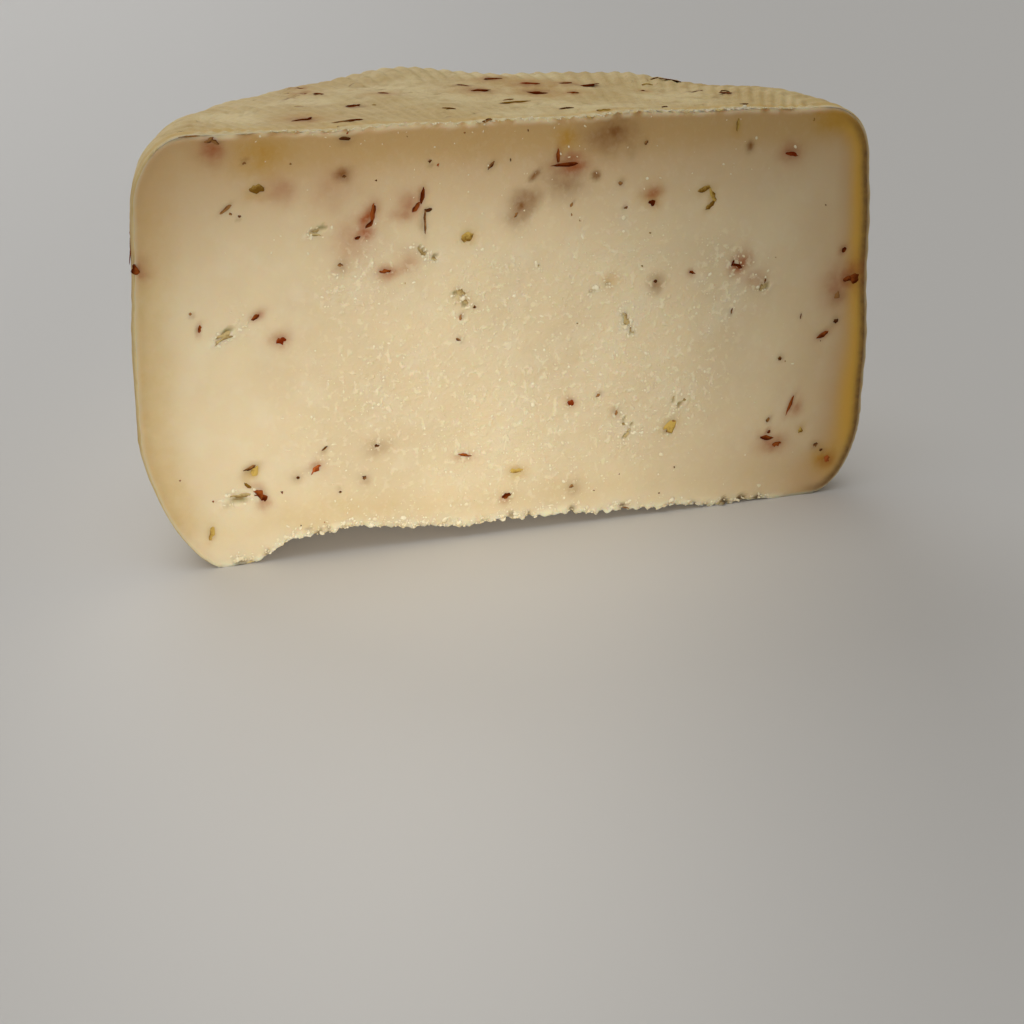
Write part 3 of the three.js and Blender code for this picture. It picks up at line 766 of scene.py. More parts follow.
@dataclass(frozen=True)
class RindFinish:
    """The rind: straw-coloured and dull, paler on its ribs, with brown stains and fine cracks."""

    straw: Colour = colour(200, 171, 112)
    pale: Colour = colour(222, 200, 146)
    brown: Colour = colour(172, 140, 92)
    stain: Colour = colour(190, 134, 60)
    dark: Colour = colour(132, 74, 36)
    gold: Colour = colour(206, 168, 92)
    # the pale burr along the top of the cut, and a painted highlight on the rind's edge beside the cut
    lip: Colour = colour(226, 214, 172)
    scatter: tuple[float, float, float] = (1.6, 0.9, 0.4)

    def build(self) -> bpy.types.Material:
        """Makes the material. A crack runs where drawn-out noise passes its mean, in broken patches."""
        paint = Paint("rind")
        crest = paint.steps(paint.plus(paint.mask("rib"), paint.times(paint.noise(2, 3), 1.6)), 0.6, 2.0)
        from_mean = paint.math("ABSOLUTE", paint.plus(paint.noise(3.2, 1, (6, 1, 2)), -0.5), 0.0)
        broken = paint.times(paint.mask("crack"), paint.steps(paint.noise(3.5, 2), 0.5, 0.6))
        crack = paint.times(broken, paint.steps(from_mean, 0.012, 0.0))
        base = paint.blend(paint.steps(paint.noise(18, 4), 0.35, 0.65), self.straw, self.pale)
        base = paint.cover(base, (
            (paint.patches(paint.noise(2.4, 4), 0.45, 0.7, 0.3), self.brown),
            (paint.times(crest, 0.25), self.pale),
            (paint.times(paint.mask("gold"), 0.6), self.gold),
            (paint.patches(paint.noise(9, 4), 0.66, 0.78, 0.5), self.stain),
            (paint.times(crack, 0.6), self.dark),
            # pale lip: a burr along the top, and beside the cut a painted highlight on the rind's edge
            (paint.times(paint.mask("white"), 0.8), self.lip),
            (paint.times(paint.mask("pit"), 0.3), self.brown),
            (paint.mask("yellow"), self.stain),
            (paint.mask("red"), self.dark),
        ))
        fine = paint.bump(paint.noise(0.5, 4), 0.1)
        pebbled = paint.bump(paint.noise(1.4, 4), 0.22, fine)
        return paint.finish({
            "Base Color": base,
            "Roughness": paint.plus(0.5, paint.times(paint.noise(2, 3), 0.3)),
            "Normal": paint.bump(paint.times(crack, -1.0), 0.25, pebbled),
            "Subsurface Weight": 0.2,
            "Subsurface Radius": self.scatter,
            "Subsurface Scale": MM,
            "Specular IOR Level": 0.2,
        })


@dataclass(frozen=True)
class ChipFinish:
    """Dull bits of chili, seed or cheese: each has its own tint between a dark and a light colour."""

    name: str
    dark: Colour
    light: Colour
    rough: float

    def build(self) -> bpy.types.Material:
        """Makes the material."""
        paint = Paint(self.name)
        tint = paint.steps(paint.frayed("tint", paint.noise(0.7, 3), 1.4), 0.0, 1.0)
        return paint.finish({
            "Base Color": paint.blend(tint, self.dark, self.light),
            "Roughness": self.rough,
            "Specular IOR Level": 0.0,
            "Normal": paint.bump(paint.noise(0.4, 3), 0.1),
        })


@dataclass(frozen=True)
class Bits:
    """The bits of one kind in the cheese, and the piece that they are joined in.

    number tells their random draws apart. share is their part of all the bits on the rind, and specks
    how many of the finest lie on the cut. on_cut darkens those on the cut, where it is under 1, and
    stain is how strong a red stain those on the rind have round them.
    """

    number: int
    piece: str
    kind: Kind
    share: float
    specks: int
    finish: ChipFinish
    on_cut: float = 1.0
    stain: float = 0.0


CHILI = (
    Bits(0, "chili_flakes", Kind.RED, 0.5, 4,
         ChipFinish("chili_red", colour(86, 35, 14), colour(152, 80, 38), 0.5), 0.8, 0.85),
    Bits(1, "chili_brown", Kind.BROWN, 0.2, 14,
         ChipFinish("chili_brown", colour(86, 50, 28), colour(164, 118, 70), 0.55)),
    Bits(2, "chili_bright", Kind.BRIGHT, 0.18, 4,
         ChipFinish("chili_bright", colour(122, 48, 22), colour(180, 98, 50), 0.5), 0.8, 0.7),
    Bits(3, "chili_seeds", Kind.OCHRE, 0.12, 8,
         ChipFinish("chili_seed", colour(126, 90, 36), colour(208, 174, 92), 0.5)),
)
# the tears' floors: olive, partly the torn paste's colour, partly painted shade, and darker to one side
# as painted shade in the hollow
TEAR_FINISH = ChipFinish("tear", colour(150, 124, 76), colour(206, 182, 128), 0.6)
CRUMB_FINISH = ChipFinish("crumb", colour(236, 220, 180), colour(248, 238, 206), 0.6)


@dataclass(frozen=True)
class Strewing:
    """How bits are strewn over the rind. A gathered part of those on the side lies round some knots.

    Places on the side are shares of the way round the wheel, and steps along its outline. Places on
    the top are angles, and distances from the axis. The lengths' logarithms and the turns have a
    mean and a spread each, and slimness is the width as a share of the length.
    """

    on_side: int = 96
    on_top: int = 18
    side_round: Span = (0.02, 0.98)
    side_along: Span = (0.5, 2.4)
    top_angle: Span = (0.2, math.pi - 0.2)
    top_reach: Span = (28, 62)
    knots: int = 11
    knots_from: Span = (0.05, 0.8)
    knots_to: Span = (0.95, 2.2)
    knot_size: Span = (0.02, 0.12)
    gathered: float = 0.5
    length: Span = (1.05, 0.55)
    length_limits: Span = (1.0, 6.0)
    slimness: Span = (0.25, 0.5)
    side_turn: Span = (-1.1, 0.5)
    top_turn: Span = (0.0, 0.4)


@dataclass
class Cheese:
    """The body of the half wheel: one closed surface of cut, rind, top and underside."""

    wheel: Wheel
    camera: PhotoCamera
    columns: int = 264
    rows: int = 138
    top_steps: int = 62
    under_steps: int = 28
    spacing: float = 1.15
    rib_drift: float = 0.16
    grain: Grain = Grain(SEED)
    strewing: Strewing = Strewing()

    def marks_on_cut(self, kinds: tuple[Kind, ...]) -> list[tuple[Mark, Array]]:
        """The marks of some kinds, each with its place on the cut."""
        chosen = [mark for mark in CUT_MARKS if mark.kind in kinds]
        pixels = np.array([mark.pixel for mark in chosen], float)
        return list(zip(chosen, self.camera.onto(pixels, 1, self.wheel.cut_y)))

    def marks_on_top(self) -> list[tuple[Mark, Array]]:
        """The marks of the top, each with its place."""
        pixels = np.array([mark.pixel for mark in TOP_MARKS], float)
        return list(zip(TOP_MARKS, self.camera.onto(pixels, 2, self.wheel.height + 1)))

    def surface(self) -> SurfaceMesh:
        """The closed surface with its relief: four grids that share the points of common edges."""
        along = self.wheel.rows(self.rows)
        t = np.linspace(0, 1, self.columns + 1)
        tt, aa = np.meshgrid(t, along)
        cut_numbers = np.arange(tt.size).reshape(tt.shape)
        points = [self.wheel.on_cut(tt, aa).reshape(-1, 3)]
        places = [np.stack([tt, aa], -1).reshape(-1, 2)]
        count = tt.size

        def add(inner: Array, spread: Array) -> Array:
            """Adds the inner points of a grid, and returns their numbers."""
            nonlocal count
            points.append(inner.reshape(-1, 3))
            places.append(spread.reshape(-1, 2))
            numbers = count + np.arange(inner.shape[0] * inner.shape[1]).reshape(inner.shape[:2])
            count += numbers.size
            return numbers

        rind_numbers = cut_numbers.copy()
        inner_t, inner_a = tt[:, 1:-1], aa[:, 1:-1]
        inner = self.wheel.on_rind(inner_t, inner_a)
        rind_numbers[:, 1:-1] = add(inner, np.stack([inner_t, inner_a], -1))
        triangles = [grid_triangles(cut_numbers, False), grid_triangles(rind_numbers, True)]
        for row, steps, flip in ((-1, self.top_steps, False), (0, self.under_steps, True)):
            share = (np.linspace(0, 1, steps + 1) ** self.spacing)[1:-1, None, None]
            front = self.wheel.on_cut(t[1:-1], np.full(len(t) - 2, along[row]))
            back = self.wheel.on_rind(t[1:-1], np.full(len(t) - 2, along[row]))
            inner = mix(front[None], back[None], share)
            spread = np.stack(np.broadcast_arrays(t[None, 1:-1], np.full((1, 1), along[row])), -1)
            numbers = np.empty((steps + 1, len(t)), int)
            numbers[0], numbers[-1] = cut_numbers[row], rind_numbers[row]
            numbers[:, 0], numbers[:, -1] = cut_numbers[row, 0], cut_numbers[row, -1]
            numbers[1:-1, 1:-1] = add(inner, np.repeat(spread, steps - 1, 0))
            triangles.append(grid_triangles(numbers, flip))
        ideal, place = np.concatenate(points), np.concatenate(places)
        drift = self.rib_drift * self.grain.over(ideal, 14, 2)
        rib = self.wheel.rib(place[:, 0], place[:, 1], drift)
        found = SurfaceMesh(self.wheel.settle(ideal, rib), np.concatenate(triangles))
        found.slots = (np.arange(len(found.triangles)) >= len(triangles[0])).astype(float)
        found.values = {"rib": rib, "on_cut": (np.arange(count) < tt.size).astype(float)}
        Relief(self, found, ideal, place).build()
        return found

    def strewn(self, number: int, share: float) -> Spots:
        """Spots of a share of the bits on the rind, at random on the side and the top."""
        random, how = stream(number), self.strewing
        side, top = round(how.on_side * share), round(how.on_top * share)
        around, along = random.uniform(*how.side_round, side), random.uniform(*how.side_along, side)
        knots = stream(99).uniform(how.knots_from, how.knots_to, (how.knots, 2))
        nearby = random.integers(0, how.knots, side)
        nearby = knots[nearby] + random.normal(0, 1, (side, 2)) * how.knot_size
        gathered = random.uniform(0, 1, side) < how.gathered
        around, along = np.where(gathered, nearby.T, (around, along))
        angle, reach = random.uniform(*how.top_angle, top), random.uniform(*how.top_reach, top)
        level = np.full(top, self.wheel.height)
        on_top = np.stack([reach * np.cos(angle), reach * np.sin(angle), level], -1)
        places = np.concatenate([self.wheel.on_rind(around, along), on_top])
        lengths = np.clip(random.lognormal(*how.length, len(places)), *how.length_limits)
        sizes = np.stack([lengths, lengths * random.uniform(*how.slimness, len(places))], -1)
        turns = [random.normal(*how.side_turn, side), random.normal(*how.top_turn, top)]
        return self.wheel.settle(places), sizes, np.concatenate(turns)

    def edge_distance(self, x: Array, z: Array) -> Array:
        """How far points of the cut are from its outline, as the least distance to points along it."""
        along = np.linspace(0, 3, 260)
        level = np.linspace(0, 1, 200)
        ends = [self.wheel.on_cut(np.full_like(along, side), along) for side in (0.0, 1.0)]
        sides = [self.wheel.on_cut(level, np.full_like(level, row)) for row in (0.0, 3.0)]
        outline = self.wheel.settle(np.concatenate(ends + sides))
        nearest = np.full(len(x), np.inf)
        for px, pz in outline[:, [0, 2]]:
            nearest = np.minimum(nearest, (x - px) ** 2 + (z - pz) ** 2)
        return np.sqrt(nearest)

    def crumbliness(self, x: Array, z: Array) -> Array:
        """How grainy the paste is: the sum of its patches, and nothing near either end of the cut."""
        pixels = np.array([patch.pixel for patch in GRAINY], float)
        total = np.full(len(x), 0.06)
        for patch, centre in zip(GRAINY, self.camera.onto(pixels, 1, self.wheel.cut_y)):
            total += patch.strength * bell(np.hypot(x - centre[0], z - centre[2]), patch.reach)
        return np.clip(total, 0, 1) * (1 - ramp(56, 64, x)) * ramp(-66, -50, x)


HALOS = {
    Kind.RED: ("red", 0.65),
    Kind.BRIGHT: ("red", 0.6),
    Kind.BROWN: ("grey", 0.4),
    Kind.OCHRE: ("yellow", 0.5),
    Kind.RED_STAIN: ("red", 0.7),
    Kind.YELLOW_STAIN: ("yellow", 0.8),
    Kind.GREY_STAIN: ("grey", 0.75),
}  # the mask that the stain round each kind of mark goes into, and how strong it is


@dataclass
class Relief:
    """The fine relief of the cheese, and the masks that its materials read.

    Each method adds to push, how far a point moves along its outward direction. All bumps come from
    one noise, each kind read at a place of its own.
    """

    cheese: Cheese
    mesh: SurfaceMesh
    ideal: Array
    place: Array
    tear_lip: float = 0.22
    tear_depth: float = 0.45
    flake_dent: float = 0.14
    knife_waves: float = 0.05
    dragged_grains: float = 0.07
    edge_reach: float = 1.3
    edge_loss: Span = (0.2, 0.45)
    torn_edge: float = 0.7
    torn_drop: float = 0.55
    burr: float = 0.3
    pebbles: Span = (0.11, 0.07)
    streaks: float = 0.09
    top_grain: float = 0.12
    top_waves: float = 0.35
    top_ribs: float = 0.19
    lip_height: float = 0.15
    pit_depth: float = 0.2

    def __post_init__(self) -> None:
        """Starts from the settled surface, with nothing pushed yet and the masks empty."""
        points, grain = self.mesh.points, self.cheese.grain
        self.points, self.grain = points, grain
        self.x, _, self.z = points.T
        self.on_cut = self.mesh.values["on_cut"] > 0.5
        self.inner = np.where(self.on_cut, 1.0, 0.0)
        self.depth = np.zeros(len(points))
        self.depth[self.on_cut] = self.cheese.edge_distance(self.x[self.on_cut], self.z[self.on_cut])
        self.push = np.zeros(len(points))
        names = ("red", "yellow", "grey", "olive", "white")
        self.masks = {name: np.zeros(len(points)) for name in names}
        self.warp = [grain.over(points + shift, 3.6, 3) for shift in (11, 87)]
        self.wobble = 1 + 0.35 * grain.over(points + 40, 1.6, 2)
        self.torn = grain.over(points * [1, 1, 0.6] + 70, 1.9, 3)

    def build(self) -> None:
        """Adds up the relief, moves the points, and gives the mesh its masks."""
        self.stain()
        self.tear()
        self.drag()
        low_edge = self.fray()
        self.roughen()
        self.mesh.values.update(self.masks)
        self.mesh.values.update(self.bands())
        moved = self.points + self.mesh.normals() * self.push[:, None]
        moved[:, 2] += self.inner * low_edge * self.torn_drop * self.grain.over(self.points + 55, 2.8, 3)
        moved[:, 2] = np.where(self.z <= 1e-6, 0.0, np.maximum(moved[:, 2], 0.0))
        self.mesh.points = moved

    def raise_mask(self, name: str, values: Array) -> None:
        """Raises a mask to some values where it is lower."""
        self.masks[name] = np.maximum(self.masks[name], values)

    def away(self, mark: Mark, centre: Array, across: tuple[int, int], grow: float,
             strayed: float = 0.0) -> Array:
        """How far points are from the middle of a mark, in units of its own half sizes.

        Args:
            mark: The mark, which is an ellipse.
            centre: Its middle.
            across: The axes in whose plane it lies.
            grow: Added to its half sizes.
            strayed: How far its outline wanders.

        Returns:
            Distances, 1 on the outline.
        """
        turn = math.radians(mark.turn)
        u = self.points[:, across[0]] - centre[across[0]] + strayed * self.warp[0]
        v = self.points[:, across[1]] - centre[across[1]] + strayed * self.warp[1]
        long = u * math.cos(turn) + v * math.sin(turn)
        wide = v * math.cos(turn) - u * math.sin(turn)
        return np.hypot(long / (mark.length / 2 + grow), wide / (mark.width / 2 + grow))

    def stain(self) -> None:
        """Marks the stains that the photograph shows, and those round the bits on the rind."""
        outer = 1 - self.inner
        for found, across, where in (
            (self.cheese.marks_on_cut(tuple(HALOS)), ON_CUT, self.inner),
            (self.cheese.marks_on_top(), ON_TOP, outer * ramp(70, 76, self.z)),
        ):
            for mark, centre in found:
                if mark.halo:
                    name, strength = HALOS[mark.kind]
                    near = bell(self.away(mark, centre, across, mark.halo, 0.6 + 0.5 * mark.halo), 0.6)
                    self.raise_mask(name, strength * mark.strength * near * where)
        for bits in CHILI:
            if bits.stain:
                spots, sizes, _ = self.cheese.strewn(bits.number, bits.share)
                for spot, length in zip(spots, sizes[:, 0]):
                    away = np.linalg.norm(self.points - spot, axis=1) / (length / 2 + 0.5) * self.wobble
                    self.raise_mask("red", 0.8 * bits.stain * bell(away, 0.55) * outer)
                    self.raise_mask("yellow", 0.5 * bell(away, 1.3) * outer)

    def tear(self) -> None:
        """Opens the small tears in the cut: a ragged hollow each, with a pale lip along one side."""
        for mark, centre in self.cheese.marks_on_cut((Kind.OLIVE,)):
            away = self.away(mark, centre, ON_CUT, 0.1, 1.5) * self.wobble
            pit = 1 - ramp(0.4, 1.1, away)
            lip = bell(away - 1.35, 0.3) * ramp(-0.3, 0.5, self.warp[1])
            self.push += self.inner * (self.tear_lip * lip - self.tear_depth * pit)
            # the hollow is tinted olive: partly the torn paste's colour, partly painted shade in the
            # hollow
            self.raise_mask("olive", self.inner * pit)
            self.raise_mask("white", 0.7 * self.inner * lip)

    def drag(self) -> None:
        """Marks that the knife left: dents at the flakes, slow waves, and dragged grains."""
        for mark, centre in self.cheese.marks_on_cut(tuple(bits.kind for bits in CHILI)):
            away = self.away(mark, centre, ON_CUT, 0.25) * self.wobble
            self.push -= self.inner * self.flake_dent * (1 - ramp(0.6, 1.2, away))
        crumbly = self.cheese.crumbliness(self.x, self.z)
        waves, grains = self.grain.over(self.points, 6, 2), self.grain.over(self.points + 9, 1.3, 3)
        self.push += self.inner * ramp(0.5, 4, self.depth) * self.knife_waves * waves
        self.push += self.inner * crumbly * self.dragged_grains * grains
        self.masks["crumbly"] = self.inner * crumbly

    def fray(self) -> Array:
        """Shapes the rim of the cut: rounded at the sides, torn into crumbs below, with a burr above.

        Returns:
            How much each point belongs to the torn lower edge.
        """
        x, z, depth, torn = self.x, self.z, self.depth, self.torn
        rounded = (1 - np.clip(depth / self.edge_reach, 0, 1)) ** 2
        beside = (1 - np.clip(self.ideal[:, 1] / 1.5, 0, 1)) ** 2
        to_side = ramp(55, 68, np.abs(x))
        to_foot = 1 - ramp(-65, -60, x) * (1 - ramp(52, 64, x))
        self.push -= np.where(self.on_cut, rounded, beside) * mix(*self.edge_loss, to_side)
        reach = 2.2 + 1.6 * self.grain.over(self.points + 33, 9, 2)
        low_edge = (1 - ramp(0.3 * reach, reach, depth)) * (1 - ramp(8, 14, z)) * (1 - to_foot)
        high_edge = (1 - ramp(0.4, 1.4 + 0.4 * torn, depth)) * ramp(74, 78, z) * (1 - to_side)
        crumbs = self.torn_edge * low_edge * torn + self.burr * high_edge * (0.4 + torn)
        self.push += self.inner * crumbs
        white = 0.8 * low_edge * ramp(-0.35, 0.3, torn) + 0.75 * high_edge * ramp(-0.6, 0.2, torn)
        self.raise_mask("white", self.inner * white)
        # painted shade: dark brown in the deepest hollows of the torn lower edge
        self.masks["pore_shade"] = 0.9 * self.inner * low_edge * ramp(0.3, 0.5, -torn)
        return low_edge

    def roughen(self) -> None:
        """Roughens the rind: pebbles, streaks that run with the ribs, pits, and a pale lip along the
        cut, a painted highlight beside it.
        """
        points, grain, z, torn, behind = self.points, self.grain, self.z, self.torn, self.ideal[:, 1]
        outside = (1 - self.inner) * ramp(0, 2, behind)
        turned = self.place[:, 0] - np.clip(self.place[:, 1] - 1, 0, 1) * self.cheese.wheel.ridge_slant
        streaks = grain.at(turned * 240, self.place[:, 1] * 9, 0 * turned)
        pebbles = grain.over(points + 5, 2.1, 3)
        on_side = ramp(6, 16, z) * (1 - ramp(68, 76, z))
        self.push += outside * (mix(*self.pebbles, on_side) * pebbles + on_side * self.streaks * streaks)
        on_top = outside * ramp(74, 79, z)
        drawn_out, waves = grain.over(points * [0.35, 1, 1] + 21, 1.6, 2), grain.over(points, 11, 2)
        self.push += on_top * (self.top_grain * drawn_out + self.top_waves * waves)
        self.push -= on_top * self.top_ribs * self.mesh.values["rib"]
        lip_above = on_top * (1 - ramp(0.9, 2.4, behind + 0.5 * torn))
        # beside the cut the pale lip is a painted highlight, lightening the rind's edge that the light
        # leaves dark
        highlight_beside = 0.8 * (1 - self.inner) * (1 - ramp(0.3, 1.3, behind)) * ramp(4, 10, z)
        lip = np.maximum(lip_above, highlight_beside)
        self.raise_mask("white", lip)
        self.push += self.lip_height * lip
        self.masks["crack"] = on_top * ramp(0.1, 0.4, grain.over(points + 3, 12, 2)) * (1 - lip)
        pits = ramp(0.5, 0.7, grain.over(points + 61, 3.0, 2))
        self.push -= outside * self.pit_depth * pits
        self.masks["pit"] = outside * pits
        wide = mix(11.0, 6.0, ramp(70, 78, z))
        self.masks["gold"] = outside * (1 - ramp(2, wide, behind + 1.5 * torn))

    def bands(self) -> dict[str, Array]:
        """The paste under the rind: translucent, amber and wide on the right, tan and narrow elsewhere.

        Returns:
            Masks: amber, warm beside it and, partly as painted shade, in a wider band under the top and
                right rind, tan, line as painted shade on the cut's rounded ends, and skin for the rind's
                section.
        """
        x, z, depth = self.x, self.z, self.depth
        rightward = ramp(56, 68, x)
        wide = 6.4 + 2.4 * (1 - ramp(12, 50, z))
        amber = rightward * (1 - ramp(0.2 * wide, 1.15 * wide, depth)) * ramp(-4, 18, z)
        warm = ramp(48, 66, x) * (1 - ramp(0.5 * wide, 2.1 * wide, depth))
        # a wide warm band in from the top and right edges: partly drier paste under the rind, partly
        # painted shade darkening the top
        drier_and_shaded_band = (1 - ramp(2, 34, depth)) * np.maximum(ramp(50, 76, z), 0.8 * ramp(30, 66, x))
        along_top = ramp(68, 77, z) * ramp(-66, -38, x)
        tan = (1 - ramp(0.5, 13.0, depth)) * mix(0.65 * ramp(0, 12, z), 1.0, along_top)
        # a dark band about a millimetre in from both ends of the cut, strongest on the right: painted
        # shade where the rounded edge turns away from the light
        line = bell(depth - 1.2, 0.75) * ramp(58, 70, np.abs(x)) * mix(0.1, 0.9, rightward)
        skin = (1 - ramp(0.3, 0.9, depth)) * ramp(50, 66, np.abs(x))
        found = {"amber": amber, "warm": np.maximum(warm, 0.7 * drier_and_shaded_band), "line": line, "skin": skin}
        found["tan"] = tan * (1 - 0.5 * rightward)
        return {name: self.inner * mask for name, mask in found.items()}


@dataclass(frozen=True)
class Chips:
    """Thin, curled and ragged chips, all alike in their net of points, laid on the cheese.

    ragged, taper and curl shape the outline. proud is how far a chip's middle stands out of the
    surface, thick is its thickness, sunk is how far its edges dip, and tilted is how unevenly it
    lies. shaded is how far the tint changes from side to side. lowest keeps points off the floor.
    """

    corners: int = 16
    rings: tuple[float, ...] = (0.0, 0.5, 0.86, 1.0)
    ragged: float = 0.3
    taper: float = 0.45
    curl: float = 0.6
    proud: float = 0.08
    thick: float = 0.2
    sunk: float = 0.12
    tilted: float = 0.08
    shaded: float = 0.45
    lowest: float = 0.02

    def net(self) -> tuple[Array, Array, Array, Array]:
        """One chip's net: rings of points on its upper side, then on its lower side.

        Returns:
            The share of the way out, the angle and the side (1 or -1) of each point, and the triangles.
        """
        out, angle, side, numbers = [], [], [], []
        turn = np.arange(self.corners) / self.corners * 2 * math.pi
        layers = [(ring, 1) for ring in self.rings] + [(ring, -1) for ring in self.rings[-2::-1]]
        for ring, face in layers:
            if ring == 0:
                numbers.append(np.full(self.corners + 1, len(out)))
                out, angle, side = [*out, 0.0], [*angle, 0.0], [*side, face]
            else:
                numbers.append(len(out) + np.arange(self.corners + 1) % self.corners)
                out = [*out, *[ring] * self.corners]
                angle, side = [*angle, *turn], [*side, *[face * (ring < 1)] * self.corners]
        return np.array(out), np.array(angle), np.array(side), grid_triangles(np.array(numbers), True)

    def lay(self, host: SurfaceMesh, spots: Spots, tints: Array,
            random: np.random.Generator) -> SurfaceMesh:
        """Lays chips on the nearest points of a surface.

        Each outline is a circle made ragged, stretched to the chip's size and bent into a slight
        crescent.

        Args:
            host: The surface that carries them.
            spots: Where they lie, how large they are, and how they are turned.
            tints: A number from 0 to 1 for each, for its colour.
            random: The stream that their unevenness is drawn from.

        Returns:
            All the chips as one mesh.
        """
        places, sizes, turns = spots
        out, angle, side, triangles = self.net()
        count, length, width = len(places), sizes[:, :1], sizes[:, 1:]
        nearest = np.array([np.argmin(((host.points - place) ** 2).sum(1)) for place in places])
        centre, outward = host.points[nearest], host.normals()[nearest]
        level = np.abs(outward[:, 2:]) > 0.75
        across = np.cross(np.where(level, [[0.0, 1.0, 0.0]], [[0.0, 0.0, 1.0]]), outward)
        across /= np.linalg.norm(across, axis=1, keepdims=True)
        up = np.cross(outward, across)
        corner = np.rint(angle / (2 * math.pi) * self.corners).astype(int)
        ragged = 1 + self.ragged * random.normal(0, 1, (count, self.corners))[:, corner]
        reach = out * np.clip(ragged, 0.35, 1.45)
        tapered = 1 - self.taper * np.cos(angle) ** 2
        long = (0.7 * out + 0.3 * reach) * np.cos(angle) * length / 2
        wide = reach * tapered * np.sin(angle) * width / 2
        bend = random.uniform(-1, 1, (count, 1)) * self.curl
        wide = wide + bend * (long / length * 2) ** 2 * width / 2
        tilt = random.normal(0, self.tilted, (count, 2, 1))
        lift = long * tilt[:, 0] * 0.5 + wide * tilt[:, 1]
        high = self.proud + lift + side * self.thick / 2 * (1 - 0.5 * out) - self.sunk * out**2
        cosine, sine = np.cos(turns)[:, None], np.sin(turns)[:, None]
        u, v = long * cosine - wide * sine, long * sine + wide * cosine
        steps = zip((u, v, high), (across, up, outward))
        points = sum((step[..., None] * way[:, None] for step, way in steps), centre[:, None])
        numbers = triangles[None] + (np.arange(count) * len(out))[:, None, None]
        made = SurfaceMesh(points.reshape(-1, 3), numbers.reshape(-1, 3))
        made.points[:, 2] = np.maximum(made.points[:, 2], self.lowest)
        slant = random.choice((-self.shaded, self.shaded), (count, 1)) * np.sin(angle) * out
        made.values = {"tint": (tints[:, None] + slant).ravel()}
        return made


def join(*lots: Spots) -> Spots:
    """Several lots of spots as one."""
    return tuple(np.concatenate(lot) for lot in zip(*lots))


@dataclass
class Flakes:
    """The chili in the cheese: the bits that the photograph shows, and others strewn over the rind.

    The marks are the visible sizes, and the chips are grown a little, since their edges are sunk.
    Bits longer than large are broken up: a second piece lies over each, shifted by a part of its
    size, smaller and turned. Bits off the cut lie on the upright side below top_from.
    """

    cheese: Cheese
    body: SurfaceMesh
    grown: float = 1.25
    large: float = 1.7
    shifted: Span = (-0.35, 0.35)
    smaller: Span = (0.45, 0.8)
    turned: float = 0.5
    on_rind: float = 0.3
    top_from: float = 74
    speck_across: Span = (0.04, 0.96)
    speck_along: Span = (0.3, 2.8)
    speck_length: Span = (0.3, 0.7)
    speck_slimness: Span = (0.4, 0.9)
    tear_floor: Chips = Chips(ragged=0.4, taper=0.5, proud=0.03, thick=0.1, sunk=0.05)

    def near_cut(self, places: Array) -> Array:
        """Whether places are within a millimetre of the plane of the cut."""
        return places[:, 1] < self.cheese.wheel.cut_y + 1

    def seen(self, kind: Kind) -> Spots:
        """Spots of the marks of a kind that the photograph shows."""
        found = self.cheese.marks_on_cut((kind,))
        found += [(mark, place) for mark, place in self.cheese.marks_on_top() if mark.kind is kind]
        places = np.array([place for _, place in found])
        sizes = self.grown * np.array([(mark.length, mark.width) for mark, _ in found])
        return places, sizes, np.radians([mark.turn for mark, _ in found])

    def broken(self, spots: Spots, number: int) -> Spots:
        """Spots of a second, smaller piece on each larger bit, which breaks its outline."""
        random = stream(number)
        places, sizes, turns = (part[spots[1][:, 0] > self.large] for part in spots)
        shift = random.uniform(*self.shifted, (len(places), 2)) * sizes
        level = shift[:, 0] * np.cos(turns) - shift[:, 1] * np.sin(turns)
        raised = shift[:, 0] * np.sin(turns) + shift[:, 1] * np.cos(turns)
        upright = (places[:, 2] < self.top_from) | self.near_cut(places)
        back, up = np.where(upright, 0, raised), np.where(upright, raised, 0)
        moved = places + np.stack([level, back, up], -1)
        smaller = sizes * random.uniform(*self.smaller, sizes.shape)
        return moved, smaller, turns + random.normal(0, self.turned, len(turns))

    def specks(self, count: int, number: int) -> Spots:
        """Spots of small specks at random on the cut."""
        random, wheel = stream(number), self.cheese.wheel
        t, along = random.uniform(*self.speck_across, count), random.uniform(*self.speck_along, count)
        lengths = random.uniform(*self.speck_length, count)
        sizes = np.stack([lengths, lengths * random.uniform(*self.speck_slimness, count)], -1)
        places = wheel.settle(wheel.on_cut(t, along))
        return places, sizes, random.uniform(0, math.pi, count)

    def build(self) -> None:
        """Makes a piece for each kind of bits, and one for the floors of the tears."""
        for bits in CHILI:
            number = bits.number
            strewn = self.cheese.strewn(number, bits.share)
            spots = join(
                self.seen(bits.kind), strewn, self.specks(bits.specks, 7 * number),
                self.broken(strewn, 50 + number),
            )
            tints = stream(40 + number).uniform(0, 1, len(spots[0]))
            tints *= np.where(self.near_cut(spots[0]), bits.on_cut, self.on_rind)
            made = Chips().lay(self.body, spots, tints, stream(20 + number))
            made.build(bits.piece, [bits.finish.build()])
        self.tears()

    def tears(self) -> None:
        """Makes the ragged floors of the small tears in the paste, each darker to one side as painted
        shade in the hollow.
        """
        spots = self.seen(Kind.OLIVE)
        spots = join(spots, self.broken(spots, 60))
        tints = stream(61).uniform(0.3, 0.7, len(spots[0]))
        self.tear_floor.lay(self.body, spots, tints, stream(62)).build("tears", [TEAR_FINISH.build()])


